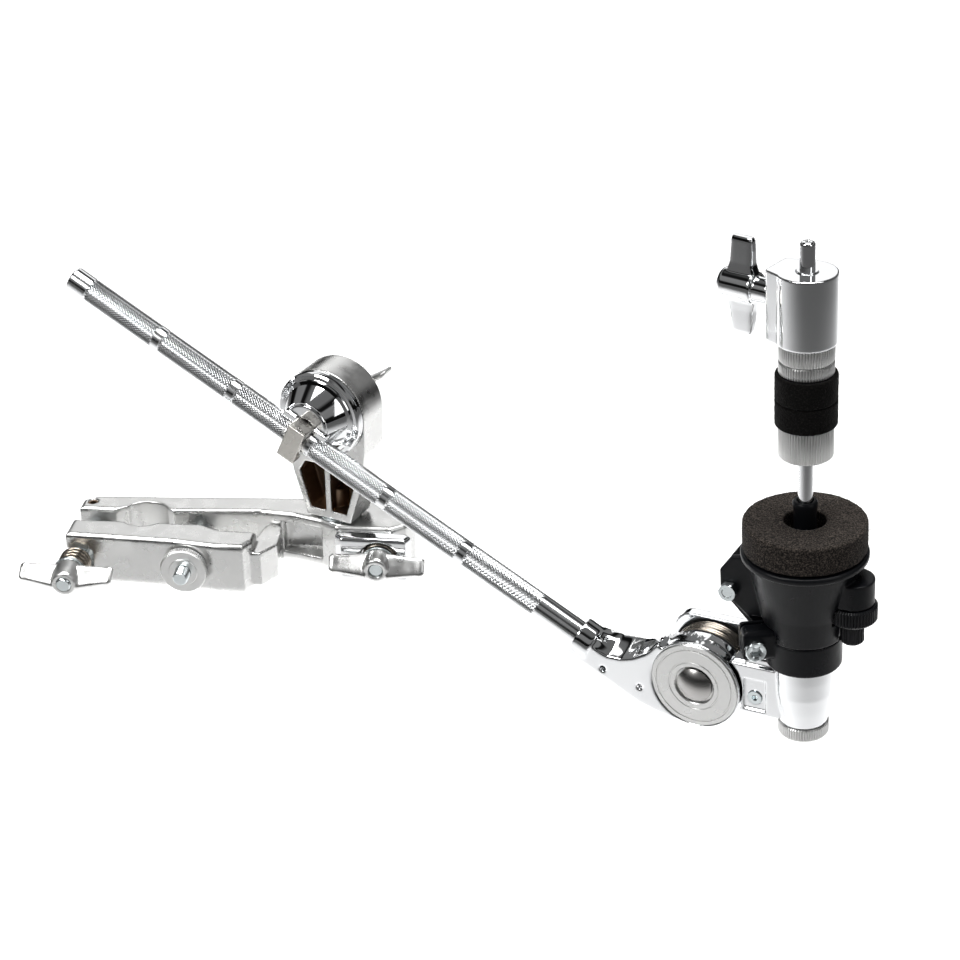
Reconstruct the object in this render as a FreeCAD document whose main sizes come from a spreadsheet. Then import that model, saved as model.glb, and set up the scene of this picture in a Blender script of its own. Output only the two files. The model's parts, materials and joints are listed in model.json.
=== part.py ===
import FreeCAD, Part
import Sketcher
import math
import os

# Clamp-on closed hi-hat boom: a two-jaw stand clamp carries a swivel post, the post carries
# a conical boom clamp, and the knurled boom ends in a tilter with a hi-hat rod, seat and clutch.
#
# Frame: origin on the axis of the clamped stand tube, at the middle of the jaws' height.
# +Z runs up the clamped tube, +X follows the boom's horizontal direction from its free end
# to the tilter, and +Y is the direction of the tilter axis, from the engraved disc to the back.

Vector = FreeCAD.Vector
doc = FreeCAD.newDocument("hihat_boom")

SIZES = [
    # stand clamp
    ("stand_tube_radius", 12.7, "radius of the clamped stand tube"),
    ("clamp_turn", 21.0, "angle of the jaws about Z, from the boom's direction"),
    ("jaw_height", 28.0, "height of both jaws"),
    ("jaw_left", -36.0, "left end of both jaws"),
    ("rear_jaw_right", 142.0, "right end of the rear jaw"),
    ("front_jaw_front", -26.3, "front face of the front jaw"),
    ("swing_bolt_x", -30.4, "position of the swing bolt along the jaws"),
    ("swing_bolt_y", 10.3, "pivot of the swing bolt"),
    ("clamp_bolt_radius", 4.0, "M8 bolts of the clamp"),
    ("fulcrum_stud_x", 27.5, "position of the fulcrum stud along the jaws"),
    ("thumb_nut_radius", 12.3, "knurled nut of the fulcrum stud"),
    ("thumb_nut_front", -34.0, "front face of that nut"),
    ("heel_x", 67.5, "centre of the front jaw's rounded heel"),
    ("heel_y", 2.25, "centre of the front jaw's rounded heel"),
    ("heel_radius", 5.0, "radius of the front jaw's heel"),
    ("short_bolt_x", 125.5, "position of the short jaw's bolt"),
    # swivel post
    ("post_x", 90.5, "axis of the post and of the boom clamp"),
    ("post_y", 47.5, "axis of the post, behind the boom"),
    ("post_base", 15.2, "underside of the post"),
    ("boss_radius", 23.4, "round head of the post"),
    ("cone_axis_height", 77.2, "axis of the conical boom clamp"),
    ("post_front", 36.9, "front face of the post"),
    ("post_back", 57.5, "back face of the post"),
    # boom
    ("boom_y", 18.7, "vertical plane of the boom's axis"),
    ("boom_slope", 24.7, "fall of the boom, in degrees"),
    ("boom_radius", 6.35, "half-inch boom tube"),
    ("boom_bore", 5.0, "inside radius of the boom tube"),
    ("cone_offset", 7.0, "cone axis above the boom axis"),
    ("boom_left", -142.4, "free end of the boom, from the clamp"),
    ("socket_mouth", 171.6, "mouth of the tilter arm's socket"),
    ("socket_depth", 22.0, "length of boom inside the socket"),
    ("socket_radius", 9.3, "outside of the socket"),
    # tilter
    ("hinge_along", 232.7, "tilter axis along the boom"),
    ("hinge_above", 20.7, "tilter axis above the boom axis"),
    ("tilter_front", 10.9, "front face of the tilter disc"),
    ("disc_radius", 23.1, "tilter disc"),
    ("tilter_bolt_radius", 5.0, "shank of the tilter bolt"),
    # hi-hat rod and everything on it
    ("rod_y", 23.3, "hi-hat rod's plane"),
    ("rod_lean", 2.9, "lean of the rod towards the boom, in degrees"),
    ("rod_radius", 3.4, "hi-hat rod"),
    ("rod_tip", 134.5, "top of the hi-hat rod"),
    ("rod_hinge_x", -50.6, "tilter axis from the rod's axis"),
    ("rod_hinge_z", -94.1, "tilter axis below the top of the felt"),
    ("barrel_top", -48.0, "top of the bracket's barrel"),
    ("barrel_bottom", -106.2, "bottom of the bracket's barrel"),
    ("barrel_radius", 13.2, "upper part of the barrel, inside the collar"),
    ("barrel_belly", 14.0, "barrel below the collar"),
    ("barrel_foot", 11.3, "lower end of the barrel"),
    ("collar_radius", 17.8, "split collar on the barrel"),
    ("collar_bottom", -74.0, "underside of the split collar"),
    ("collar_top", -58.8, "top of the split collar, under the seat's skirt"),
    ("skirt_bottom", -58.4, "lower edge of the seat's skirt"),
    ("collar_lug_turn", 32.0, "direction of the collar's lug, from -X towards -Y"),
    ("felt_radius", 28.6, "seat felt"),
    ("felt_height", 14.6, "seat felt"),
    ("felt_hole", 9.8, "hole of the seat felt"),
    ("sleeve_radius", 5.7, "plastic sleeve that centres the cymbal"),
    ("sleeve_top", 10.0, "top of the sleeve above the felt"),
    ("seat_radius", 29.3, "rim of the tilting seat"),
    ("seat_pivot_x", -33.5, "pivot of the tilting seat"),
    ("seat_pivot_z", -39.5, "pivot of the tilting seat"),
    ("seat_screw_x", 23.3, "adjusting screw of the tilting seat"),
    ("seat_nut_radius", 11.35, "thumb nut of the adjusting screw"),
    ("seat_nut_bottom", -46.4, "underside of that nut"),
    ("seat_nut_top", -37.9, "top of that nut"),
    ("clutch_nut_radius", 12.4, "knurled nuts of the clutch"),
    ("clutch_felt_radius", 14.2, "felts of the clutch"),
    ("clutch_bottom", 33.1, "underside of the clutch's lowest nut"),
    ("clutch_body_bottom", 87.9, "underside of the clutch body"),
    ("clutch_body_top", 120.9, "top of the clutch body"),
    ("clutch_body_radius", 13.5, "round side of the clutch body"),
    ("clutch_tube_radius", 4.65, "threaded tube of the clutch"),
    ("clutch_screw_turn", 12.0, "direction of the clutch's wing screw, from -X towards +Y"),
    ("clutch_screw_height", 107.0, "height of the clutch's wing screw"),
    ("running_gap", 0.05, "radial clearance of a running fit"),
    ("free_gap", 0.3, "space between moving faces"),
]


class Size:
    """A number together with the spreadsheet expression that gives it."""

    def __init__(self, number, text):
        self.number = number
        self.text = text

    def combine(self, other, sign, number):
        other = as_size(other)
        return Size(number(self.number, other.number), "(%s %s %s)" % (self.text, sign, other.text))

    def __add__(self, other):
        return self.combine(other, "+", lambda a, b: a + b)

    def __sub__(self, other):
        return self.combine(other, "-", lambda a, b: a - b)

    def __mul__(self, other):
        return self.combine(other, "*", lambda a, b: a * b)

    def __truediv__(self, other):
        return self.combine(other, "/", lambda a, b: a / b)

    def __neg__(self):
        return Size(-self.number, "(-1 * %s)" % self.text)


def as_size(value):
    return value if isinstance(value, Size) else Size(float(value), "%.6g" % value)


class Sheet:
    """The spreadsheet's cells as sizes: S.boom_radius is bound to the cell of that name."""

    def __init__(self, rows):
        self.table = doc.addObject("Spreadsheet::Sheet", "Sizes")
        for number, (alias, value, note) in enumerate(rows, start=1):
            self.table.set("A%d" % number, note)
            self.table.set("B%d" % number, "%g" % value)
            self.table.setAlias("B%d" % number, alias)
            setattr(self, alias, Size(float(value), "Sizes.%s" % alias))


S = Sheet(SIZES)
doc.recompute()


def bind(item, field, value):
    """Set a property and tie it to the spreadsheet."""
    value = as_size(value)
    if "." not in field:
        setattr(item, field, value.number)
    if "Sizes" in value.text or "." in field:
        item.setExpression(field, value.text)


TURNS = {"z": None, "y": (Vector(1, 0, 0), -90), "x": (Vector(0, 1, 0), 90)}


def set_down(item, base, along="z"):
    """Put a primitive's base point at a place, with its own z axis along x, y or z."""
    rotation = FreeCAD.Rotation()
    if TURNS[along]:
        rotation = FreeCAD.Rotation(*TURNS[along])
    base = [as_size(value) for value in base]
    item.Placement = FreeCAD.Placement(Vector(*[value.number for value in base]), rotation)
    for letter, value in zip("xyz", base):
        if "Sizes" in value.text:
            item.setExpression("Placement.Base.%s" % letter, value.text)
    return item


def cylinder(radius, height, base=(0, 0, 0), along="z"):
    item = doc.addObject("Part::Cylinder", "Cylinder")
    bind(item, "Radius", radius)
    bind(item, "Height", height)
    return set_down(item, base, along)


def cone(radius_start, radius_end, height, base=(0, 0, 0), along="z"):
    item = doc.addObject("Part::Cone", "Cone")
    bind(item, "Radius1", radius_start)
    bind(item, "Radius2", radius_end)
    bind(item, "Height", height)
    return set_down(item, base, along)


def box(low, high):
    """A box between two corners."""
    item = doc.addObject("Part::Box", "Box")
    for field, start, end in zip(("Length", "Width", "Height"), low, high):
        bind(item, field, as_size(end) - start)
    return set_down(item, low)


def fuse(*items):
    item = doc.addObject("Part::MultiFuse", "Fusion")
    item.Shapes = list(items)
    item.Refine = True
    return item


def cut(base, *tools):
    item = doc.addObject("Part::Cut", "Cut")
    item.Base = base
    item.Tool = tools[0] if len(tools) == 1 else fuse(*tools)
    return item


def rounded(base, radius, keep):
    """Fillet the edges that the test keep(edge) picks."""
    doc.recompute()
    item = doc.addObject("Part::Fillet", "Fillet")
    item.Base = base
    radius = as_size(radius).number
    numbers = [i for i, edge in enumerate(base.Shape.Edges, start=1) if keep(edge)]
    item.Edges = [(i, radius, radius) for i in numbers]
    return item


def bevelled(base, size, keep):
    doc.recompute()
    item = doc.addObject("Part::Chamfer", "Chamfer")
    item.Base = base
    numbers = [i for i, edge in enumerate(base.Shape.Edges, start=1) if keep(edge)]
    item.Edges = [(i, size, size) for i in numbers]
    return item


def tube(outside, inside, height, base=(0, 0, 0), along="z"):
    return cut(cylinder(outside, height, base, along), cylinder(inside, height, base, along))


SKETCH_PLANES = {"xy": "XY_Plane", "xz": "XZ_Plane"}


def plate(points, thickness, start=0, plane="xy"):
    """A padded outline. On "xy" it rises from z = start; on "xz" it runs back from y = start."""
    body = doc.addObject("PartDesign::Body", "Plate")
    sketch = body.newObject("Sketcher::SketchObject", "Outline")
    role = SKETCH_PLANES[plane]
    origin_plane = [o for o in body.Origin.OriginFeatures if o.Role == role][0]
    sketch.AttachmentSupport = (origin_plane, [""])
    sketch.MapMode = "FlatFace"
    corners = [(as_size(x), as_size(y)) for x, y in points]
    places = [Vector(x.number, y.number, 0) for x, y in corners]
    for here, there in zip(places, places[1:] + places[:1]):
        sketch.addGeometry(Part.LineSegment(here, there), False)
    for i in range(len(corners)):
        sketch.addConstraint(Sketcher.Constraint("Coincident", i, 2, (i + 1) % len(corners), 1))
    for i, corner in enumerate(corners):
        for kind, value in zip(("DistanceX", "DistanceY"), corner):
            row = sketch.addConstraint(Sketcher.Constraint(kind, -1, 1, i, 1, value.number))
            if "Sizes" in value.text:
                sketch.setExpression("Constraints[%d]" % row, value.text)
    pad = body.newObject("PartDesign::Pad", "Pad")
    pad.Profile = sketch
    bind(pad, "Length", thickness)
    pad.Reversed = plane == "xz"
    start = as_size(start)
    along = Vector(0, 0, start.number) if plane == "xy" else Vector(0, start.number, 0)
    body.Placement = FreeCAD.Placement(along, FreeCAD.Rotation())
    return body


def upright(edge):
    """True for straight edges along z."""
    ends = [vertex.Point for vertex in edge.Vertexes]
    return len(ends) == 2 and (ends[0] - ends[1]).cross(Vector(0, 0, 1)).Length < 1e-3


def along_y(edge):
    """True for straight edges along y."""
    ends = [vertex.Point for vertex in edge.Vertexes]
    return len(ends) == 2 and (ends[0] - ends[1]).cross(Vector(0, 1, 0)).Length < 1e-3


def at_height(edge, *heights):
    """True for edges that lie in one of the given horizontal planes."""
    low = edge.BoundBox.ZMin
    high = edge.BoundBox.ZMax
    return high - low < 1e-4 and any(abs(low - height) < 1e-3 for height in heights)


NODES = []


def moved(item, placement):
    """The same piece carried to another place. The piece keeps its own bound base point."""
    group = doc.addObject("Part::Compound", "Placed")
    group.Links = [item]
    doc.recompute()
    group.Placement = placement
    return group


def node(item, label, frame):
    """Name a finished sub-part and move it from its own frame to the object's."""
    item = moved(item, frame)
    item.Label = label
    NODES.append(item)
    return item


def turn_about(axis, angle):
    return FreeCAD.Rotation(Vector(*axis), angle)


slope = math.radians(S.boom_slope.number)
BOOM_POINT = Vector(
    S.post_x.number - S.cone_offset.number * math.sin(slope),
    S.boom_y.number,
    S.cone_axis_height.number - S.cone_offset.number * math.cos(slope),
)
CLAMP = FreeCAD.Placement(Vector(0, 0, 0), turn_about((0, 0, 1), S.clamp_turn.number))
POST = FreeCAD.Placement(Vector(S.post_x.number, 0, 0), FreeCAD.Rotation())
CONE = FreeCAD.Placement(Vector(S.post_x.number, 0, S.cone_axis_height.number), FreeCAD.Rotation())
BOOM = FreeCAD.Placement(BOOM_POINT, turn_about((0, 1, 0), S.boom_slope.number))
ALONG_BOOM = FreeCAD.Placement(Vector(0, 0, 0), turn_about((0, 1, 0), S.boom_slope.number))

# The rod's frame starts at the top of the seat felt, and is placed so that both halves of the
# tilter share one axis.
rod_turn = turn_about((0, 1, 0), -S.rod_lean.number)
tilter_axis = BOOM.multVec(Vector(S.hinge_along.number, 0, S.hinge_above.number))
axis_from_rod = rod_turn.multVec(Vector(S.rod_hinge_x.number, 0, S.rod_hinge_z.number))
felt_top = tilter_axis - axis_from_rod
ROD = FreeCAD.Placement(Vector(felt_top.x, S.rod_y.number, felt_top.z), rod_turn)

# The post's bolt stands on the post's axis, here in the clamp's own frame.
post_in_clamp = CLAMP.inverse().multVec(Vector(S.post_x.number, S.post_y.number, 0))


# ---------------------------------------------------------------- wing nuts

def wing_nut(hub_radius, hub_length, bore, reach, base=(0, 0, 0), rise=7.0, depth=9.5):
    """A wing nut whose hub starts at base and runs towards -y, with its wings along x."""
    x, y, z = [as_size(value) for value in base]
    hub = cone(hub_radius * 0.86, hub_radius, hub_length, (x, y - hub_length, z), "y")
    wings = []
    for side in (1, -1):
        angle = math.radians(rise)
        points = [
            (0, -3.4),
            (side * 8.0, -3.6 + 8.0 * math.sin(angle)),
            (side * reach, reach * math.sin(angle) - 2.2),
            (side * reach, reach * math.sin(angle) + 2.2),
            (side * 8.0, 3.8 + 8.0 * math.sin(angle)),
            (0, 4.6),
        ]
        wing = plate(points if side > 0 else points[::-1], depth, 0, "xz")
        wing.Placement = FreeCAD.Placement(
            Vector(x.number, y.number - hub_length + 1.2, z.number), FreeCAD.Rotation())
        wings.append(rounded(wing, 1.6, lambda edge: not along_y(edge) or abs(edge.BoundBox.XMax) > 12))
    return cut(fuse(hub, *wings), cylinder(bore, hub_length + 2, (x, y - hub_length - 1, z), "y"))


# ---------------------------------------------------------------- stand clamp

half_height = S.jaw_height / 2
jaw_low = -half_height


def rear_jaw():
    outline = [
        (S.jaw_left, 3.0),
        (-13.0, 3.0),
        (13.0, 4.6),
        (60.0, 8.4),
        (78.0, 6.6),
        (93.0, 2.0),
        (102.0, -3.8),
        (131.0, -3.8),
        (S.rear_jaw_right - 4, 1.0),
        (S.rear_jaw_right, 9.0),
        (S.rear_jaw_right - 3, 19.0),
        (128.0, 26.0),
        (78.0, 25.2),
        (-29.0, 16.9),
        (S.jaw_left, 12.5),
    ]
    jaw = plate(outline, S.jaw_height, jaw_low)
    jaw = rounded(jaw, 2.2, lambda edge: at_height(edge, 14.0, -14.0))
    bolt_clear = S.clamp_bolt_radius + S.running_gap
    left_mouth = [(-17.5, 2.0), (-10.0, 2.0), (-11.0, 6.8)]
    right_mouth = [(17.5, 3.0), (11.0, 6.8), (10.0, 2.0)]
    return cut(
        jaw,
        plate(left_mouth, S.jaw_height + 2, jaw_low - 1),
        plate(right_mouth, S.jaw_height + 2, jaw_low - 1),
        cylinder(S.stand_tube_radius, S.jaw_height + 2, (0, 0, jaw_low - 1)),
        box((S.swing_bolt_x - 6, -4, -4.2), (S.swing_bolt_x + 6, 15.6, 4.2)),
        cylinder(2.5, S.jaw_height + 2, (S.swing_bolt_x, S.swing_bolt_y, jaw_low - 1)),
        cylinder(S.clamp_bolt_radius, 14, (S.fulcrum_stud_x, 4, 0), "y"),
        cylinder(S.clamp_bolt_radius, 40, (S.short_bolt_x, -8, 0), "y"),
        box((72, -8, -9), (93.5, 14, 9)),
        cylinder(bolt_clear, S.jaw_height + 2, (post_in_clamp.x, post_in_clamp.y, jaw_low - 1)),
        cylinder(8.2, 5.5, (post_in_clamp.x, post_in_clamp.y, jaw_low - 0.5)),
    )


def front_jaw():
    outline = [
        (S.jaw_left, -24.6),
        (20.0, S.front_jaw_front),
        (46.0, -29.4),
        (58.0, -29.0),
        (62.0, -22.0),
        (62.0, -12.5),
        (42.0, -12.0),
        (32.0, -7.2),
        (S.jaw_left, -8.4),
    ]
    jaw = plate(outline, S.jaw_height, jaw_low)
    jaw = rounded(jaw, 2.4, lambda edge: at_height(edge, 14.0, -14.0))
    tail = plate(
        [
            (44.0, -26.0),
            (66.0, -24.0),
            (73.0, -14.0),
            (S.heel_x + S.heel_radius, S.heel_y),
            (S.heel_x - S.heel_radius, S.heel_y),
            (60.0, -12.5),
            (44.0, -12.4),
        ],
        19.0, -11.5)
    heel = cylinder(S.heel_radius, 19.0, (S.heel_x, S.heel_y, -11.5))
    return cut(
        fuse(jaw, tail, heel),
        cylinder(S.stand_tube_radius, S.jaw_height + 2, (0, 0, jaw_low - 1)),
        box((S.jaw_left - 2, -30, -5.2), (S.swing_bolt_x + 8, -4, 5.2)),
        cylinder(S.clamp_bolt_radius + 3.2, 30, (S.fulcrum_stud_x, -32, 0), "y"),
    )


def swing_bolt():
    eye = cylinder(4.9, 7.6, (S.swing_bolt_x, S.swing_bolt_y, -3.8))
    shank = cylinder(S.clamp_bolt_radius, 62.6, (S.swing_bolt_x, -53.0, 0), "y")
    return cut(fuse(eye, shank), cylinder(S.running_gap + 2.5, 10, (S.swing_bolt_x, S.swing_bolt_y, -5)))


bolt_gap = S.clamp_bolt_radius + S.free_gap
node(rear_jaw(), "rear_jaw", CLAMP)
node(front_jaw(), "front_jaw", CLAMP)
node(cylinder(2.5, 26, (S.swing_bolt_x, S.swing_bolt_y, -13)), "swing_bolt_pin", CLAMP)
node(swing_bolt(), "swing_bolt", CLAMP)
node(tube(8.2, 6.2, 11.4, (S.swing_bolt_x, -38.4, 0), "y"), "left_clamp_spring", CLAMP)
node(tube(8.6, bolt_gap, 1.2, (S.swing_bolt_x, -39.7, 0), "y"), "left_clamp_washer", CLAMP)
nut = wing_nut(8.2, 12.0, bolt_gap, 24.5, (S.swing_bolt_x, -39.9, 0))
node(nut, "left_wing_nut", CLAMP)
node(cylinder(S.clamp_bolt_radius, 57.6, (S.fulcrum_stud_x, -41.0, 0), "y"), "fulcrum_stud", CLAMP)
knob = fuse(
    cylinder(S.thumb_nut_radius, 4.9, (S.fulcrum_stud_x, S.thumb_nut_front, 0), "y"),
    cylinder(7.0, 5.7, (S.fulcrum_stud_x, S.thumb_nut_front, 0), "y"),
)
knob = cut(knob, cylinder(S.clamp_bolt_radius + S.running_gap, 14, (S.fulcrum_stud_x, -40, 0), "y"))
node(knob, "fulcrum_thumb_nut", CLAMP)


def short_jaw():
    outline = [(102.5, -4.2), (139.0, -4.2), (142.0, -7.5), (139.5, -12.6), (106.0, -12.6), (102.5, -9.5)]
    block = plate(outline, 25.0, -12.5)
    block = rounded(block, 2.0, lambda edge: at_height(edge, 12.5, -12.5))
    return cut(
        block,
        cylinder(10.4, 6, (S.short_bolt_x, -13.6, 0), "y"),
        cylinder(bolt_gap, 12, (S.short_bolt_x, -14, 0), "y"),
    )


def short_bolt():
    shank = cylinder(S.clamp_bolt_radius, 48.6, (S.short_bolt_x, -22.4, 0), "y")
    head = rounded(
        cylinder(7.0, 4.5, (S.short_bolt_x, 26.2, 0), "y"), 1.5,
        lambda edge: edge.BoundBox.YMin > 30.5)
    return fuse(shank, head)


node(short_jaw(), "short_jaw", CLAMP)
node(short_bolt(), "short_jaw_bolt", CLAMP)
node(tube(9.2, 7.2, 4.6, (S.short_bolt_x, -12.4, 0), "y"), "right_clamp_spring", CLAMP)
node(tube(8.6, bolt_gap, 1.1, (S.short_bolt_x, -13.7, 0), "y"), "right_clamp_washer", CLAMP)
nut = wing_nut(8.2, 9.5, bolt_gap, 25.0, (S.short_bolt_x, -13.9, 0), 2.0, 8.0)
node(nut, "right_wing_nut", CLAMP)


# ---------------------------------------------------------------- swivel post

def post():
    """A cast column with two deep pockets in its front, under a round head."""
    base = S.post_base
    middle = S.cone_axis_height
    outline = [
        (-13.0, base),
        (13.0, base),
        (20.2, base + 24),
        (22.8, base + 42),
        (S.boss_radius, middle),
        (-S.boss_radius, middle),
        (-22.8, base + 42),
        (-20.2, base + 24),
    ]
    depth = S.post_back - S.post_front
    column = plate(outline, depth, S.post_front, "xz")
    head = cylinder(S.boss_radius, depth, (0, S.post_front, middle), "y")
    pockets = []
    for side in (-1, 1):
        points = [
            (side * 1.6, base + 4.5),
            (side * 10.6, base + 4.5),
            (side * 16.6, base + 25),
            (side * 13.0, base + 31),
            (side * 1.6, base + 31),
        ]
        pocket = plate(points[::side], 14.0, S.post_front - 1, "xz")
        pockets.append(cut(pocket, cylinder(5.4, 15, (0, S.post_y, base))))
    casting = rounded(fuse(column, head), 2.0, lambda edge: edge.BoundBox.YMin > 57.4)
    return cut(
        casting,
        cylinder(S.clamp_bolt_radius + S.running_gap, 30, (0, 33, middle), "y"),
        cylinder(S.clamp_bolt_radius, 14, (0, S.post_y, base - 1)),
        *pockets)


node(post(), "post", POST)
bolt = fuse(
    cylinder(S.clamp_bolt_radius, 37.4, (0, S.post_y, -9.4)),
    cylinder(7.4, 4.2, (0, S.post_y, -13.4)),
)
node(bolt, "post_bolt", POST)
washer = tube(11.5, S.clamp_bolt_radius + S.running_gap, 0.9, (0, S.post_y, 14.15))
node(washer, "swivel_washer", POST)


# ---------------------------------------------------------------- boom clamp

def boom_clamp_cone():
    """A flange and cone about the clamp axis, with a saddle for the tube across its small end."""
    flange = cylinder(23.5, 4.6, (0, 31.4, 0), "y")
    flange = rounded(flange, 1.2, lambda edge: edge.BoundBox.YMax < 32)
    step = cylinder(20.6, 1.6, (0, 29.9, 0), "y")
    taper = cone(11.4, 18.6, 11.0, (0, 19.0, 0), "y")
    saddle = box((-13.0, 17.2, -13.6), (13.0, 24.0, 3.0))
    tube_hole = cylinder(S.boom_radius + S.running_gap, 60, (-30, S.boom_y, -S.cone_offset), "x")
    strap_slot = box((-5.3, 10.0, -0.8), (5.3, 27.6, 3.4))
    return cut(
        fuse(flange, step, taper, moved(saddle, ALONG_BOOM)),
        moved(tube_hole, ALONG_BOOM),
        moved(strap_slot, ALONG_BOOM),
        cylinder(S.clamp_bolt_radius + S.free_gap, 30, (0, 10, 0), "y"))


node(boom_clamp_cone(), "boom_clamp_cone", CONE)
ring = tube(22.7, S.clamp_bolt_radius + S.free_gap, 0.6, (0, 36.15, 0), "y")
node(ring, "friction_ring", CONE)


def hook_bolt():
    """A flat strap hooked over the tube, with a threaded shank behind it."""
    inner = S.boom_radius + S.running_gap * 5
    outer = inner + 3.4
    lip = -inner - 2.6
    points = [
        (inner * -1, inner),
        (8.5, inner),
        (8.5, outer),
        (outer * -1, outer),
        (outer * -1, lip),
        (-3.2, lip),
        (-3.2, inner * -1),
        (inner * -1, inner * -1),
    ]
    strap = plate(points, 10.0, -5.0)
    strap.Placement = FreeCAD.Placement(
        Vector(-5.0, S.boom_y.number, 0),
        FreeCAD.Rotation(Vector(0, 1, 0), Vector(0, 0, 1), Vector(1, 0, 0), "ZXY"))
    shank = cylinder(S.clamp_bolt_radius, 46, (0, S.boom_y + 7.5, S.cone_offset), "y")
    return fuse(strap, shank)


node(hook_bolt(), "hook_bolt", FreeCAD.Placement(
    Vector(BOOM_POINT.x, 0, BOOM_POINT.z), turn_about((0, 1, 0), S.boom_slope.number)))
washer = tube(9.5, bolt_gap, 1.4, (0, S.post_back + S.free_gap, 0), "y")
node(washer, "rear_washer", CONE)


def rear_wing_nut():
    """The wing nut behind the post, with its hub running towards +y."""
    nut = wing_nut(8.6, 12.0, bolt_gap, 27.0, (0, 0, 0), 4.0)
    half_turn = FreeCAD.Rotation(Vector(0, 0, 1), 180)
    lift = FreeCAD.Rotation(Vector(0, 1, 0), -35)
    nut.Placement = FreeCAD.Placement(Vector(0, 59.4, 0), lift.multiply(half_turn))
    return nut


node(rear_wing_nut(), "rear_wing_nut", CONE)


# ---------------------------------------------------------------- boom

def boom_tube():
    right = S.socket_mouth + S.socket_depth
    solid = cylinder(S.boom_radius, right - S.boom_left, (S.boom_left, 0, 0), "x")
    solid = bevelled(solid, 0.6, lambda edge: edge.BoundBox.XMax < -142)
    hollow = cylinder(S.boom_bore, right - S.boom_left + 2, (S.boom_left - 1, 0, 0), "x")
    pin_hole = cylinder(1.5, 20, (191.1, -8, -3.7), "y")
    return cut(solid, hollow, pin_hole)


node(boom_tube(), "boom_tube", BOOM)
plug = cylinder(S.boom_bore, 9.0, (S.boom_left - 0.8, 0, 0), "x")
plug = rounded(plug, 0.8, lambda edge: edge.BoundBox.XMax < -143)
node(plug, "boom_end_plug", BOOM)


# ---------------------------------------------------------------- tilter

arm_front = S.tilter_front - S.boom_y


def loft(stations):
    """A smooth solid through closed sections, given as (x, [(y, z), ...])."""
    item = doc.addObject("Part::Loft", "Loft")
    wires = []
    for x, points in stations:
        wire = doc.addObject("Part::Polygon", "Section")
        wire.Nodes = [Vector(x, y, z) for y, z in points]
        wire.Close = True
        wires.append(wire)
    item.Sections = wires
    item.Solid = True
    item.Ruled = True
    return item


def tilter_arm():
    """The socket on the boom, sweeping up to a pointed ear, and a flat web with a round drum."""
    mouth = S.socket_mouth
    axis_x = S.hinge_along
    axis_z = S.hinge_above
    outline = [
        (mouth, -8.0),
        (mouth + 42, -8.0),
        (mouth + 54, -5.8),
        (axis_x + 6, -1.6),
        (axis_x, axis_z),
        (axis_x - 20, axis_z + 7),
        (axis_x - 25, axis_z + 7.4),
        (axis_x - 27, axis_z - 1.2),
        (axis_x - 31, axis_z - 8.0),
        (axis_x - 36, axis_z - 13.2),
        (axis_x - 42, axis_z - 16.8),
        (mouth, axis_z - 17.4),
    ]
    # From the socket to the ear: front foot, front edge, hollow, back edge, back, underside.
    sweep = [
        (178.0, [
            (-7.8, -7.0), (-7.8, 4.2), (-4.6, 7.9), (0.0, 9.2),
            (6.2, 6.8), (9.2, 0.0), (6.4, -6.6), (0.0, -8.0),
        ]),
        (184.0, [
            (-7.8, -7.0), (-7.8, 2.8), (-4.2, 6.8), (1.0, 9.0),
            (6.8, 8.6), (9.2, 1.0), (6.6, -6.4), (0.0, -8.0),
        ]),
        (190.0, [
            (-7.8, -7.0), (-7.8, 4.2), (-3.8, 6.9), (1.0, 9.6),
            (6.4, 11.2), (8.4, 3.0), (6.6, -6.0), (0.0, -8.0),
        ]),
        (196.0, [
            (-7.8, -7.0), (-7.8, 7.6), (-4.2, 9.4), (-0.4, 12.4),
            (4.2, 16.2), (6.6, 8.0), (5.0, -5.0), (0.0, -8.0),
        ]),
        (201.0, [
            (-7.8, -6.0), (-7.8, 12.4), (-5.4, 14.2), (-2.8, 17.4),
            (0.6, 21.8), (2.6, 14.0), (1.0, -2.0), (-3.0, -6.0),
        ]),
        (205.0, [
            (-7.8, 0.0), (-7.8, 18.4), (-6.4, 20.2), (-4.4, 23.4),
            (-1.8, 27.4), (-1.0, 20.0), (-2.0, 6.0), (-5.0, 0.0),
        ]),
        (207.4, [
            (-7.8, 10.0), (-7.8, 24.4), (-7.0, 25.2), (-5.8, 26.6),
            (-4.2, 28.6), (-3.8, 24.0), (-4.2, 15.0), (-6.0, 10.0),
        ]),
    ]
    web = plate(outline, 7.5, arm_front, "xz")
    socket = cylinder(S.socket_radius, 9, (mouth, 0, 0), "x")
    drum = cylinder(S.disc_radius - 0.3, 5.7, (axis_x, arm_front + 1.85, axis_z), "y")
    rim = tube(S.disc_radius, S.disc_radius - 1.0, 1.85, (axis_x, arm_front, axis_z), "y")
    seat = cylinder(S.disc_radius - 1.0, 3, (axis_x, arm_front - 1.15, axis_z), "y")
    return cut(
        fuse(cut(fuse(web, socket, loft(sweep), drum), seat), rim),
        cylinder(S.boom_radius, S.socket_depth, (mouth, 0, 0), "x"),
        cylinder(1.5, 22, (191.1, -9, -3.7), "y"),
        cylinder(1.4, 3, (211.0, arm_front - 1, 0.5), "y"),
        cylinder(S.tilter_bolt_radius, 20, (axis_x, arm_front - 2, axis_z), "y"))


node(tilter_arm(), "tilter_arm", BOOM)
node(cylinder(1.5, 14.0, (191.1, arm_front + 0.8, -3.7), "y"), "socket_pin", BOOM)


def tilter_disc():
    """The round cover with a shallow ring groove near its edge."""
    front = arm_front
    centre = (S.hinge_along, front, S.hinge_above)
    disc = cylinder(S.disc_radius - 1.0, 1.8, centre, "y")
    groove = tube(19.6, 18.8, 0.8, (S.hinge_along, front - 0.4, S.hinge_above), "y")
    bore = cylinder(S.tilter_bolt_radius, 4, (S.hinge_along, front - 1, S.hinge_above), "y")
    return cut(disc, groove, bore)


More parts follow.
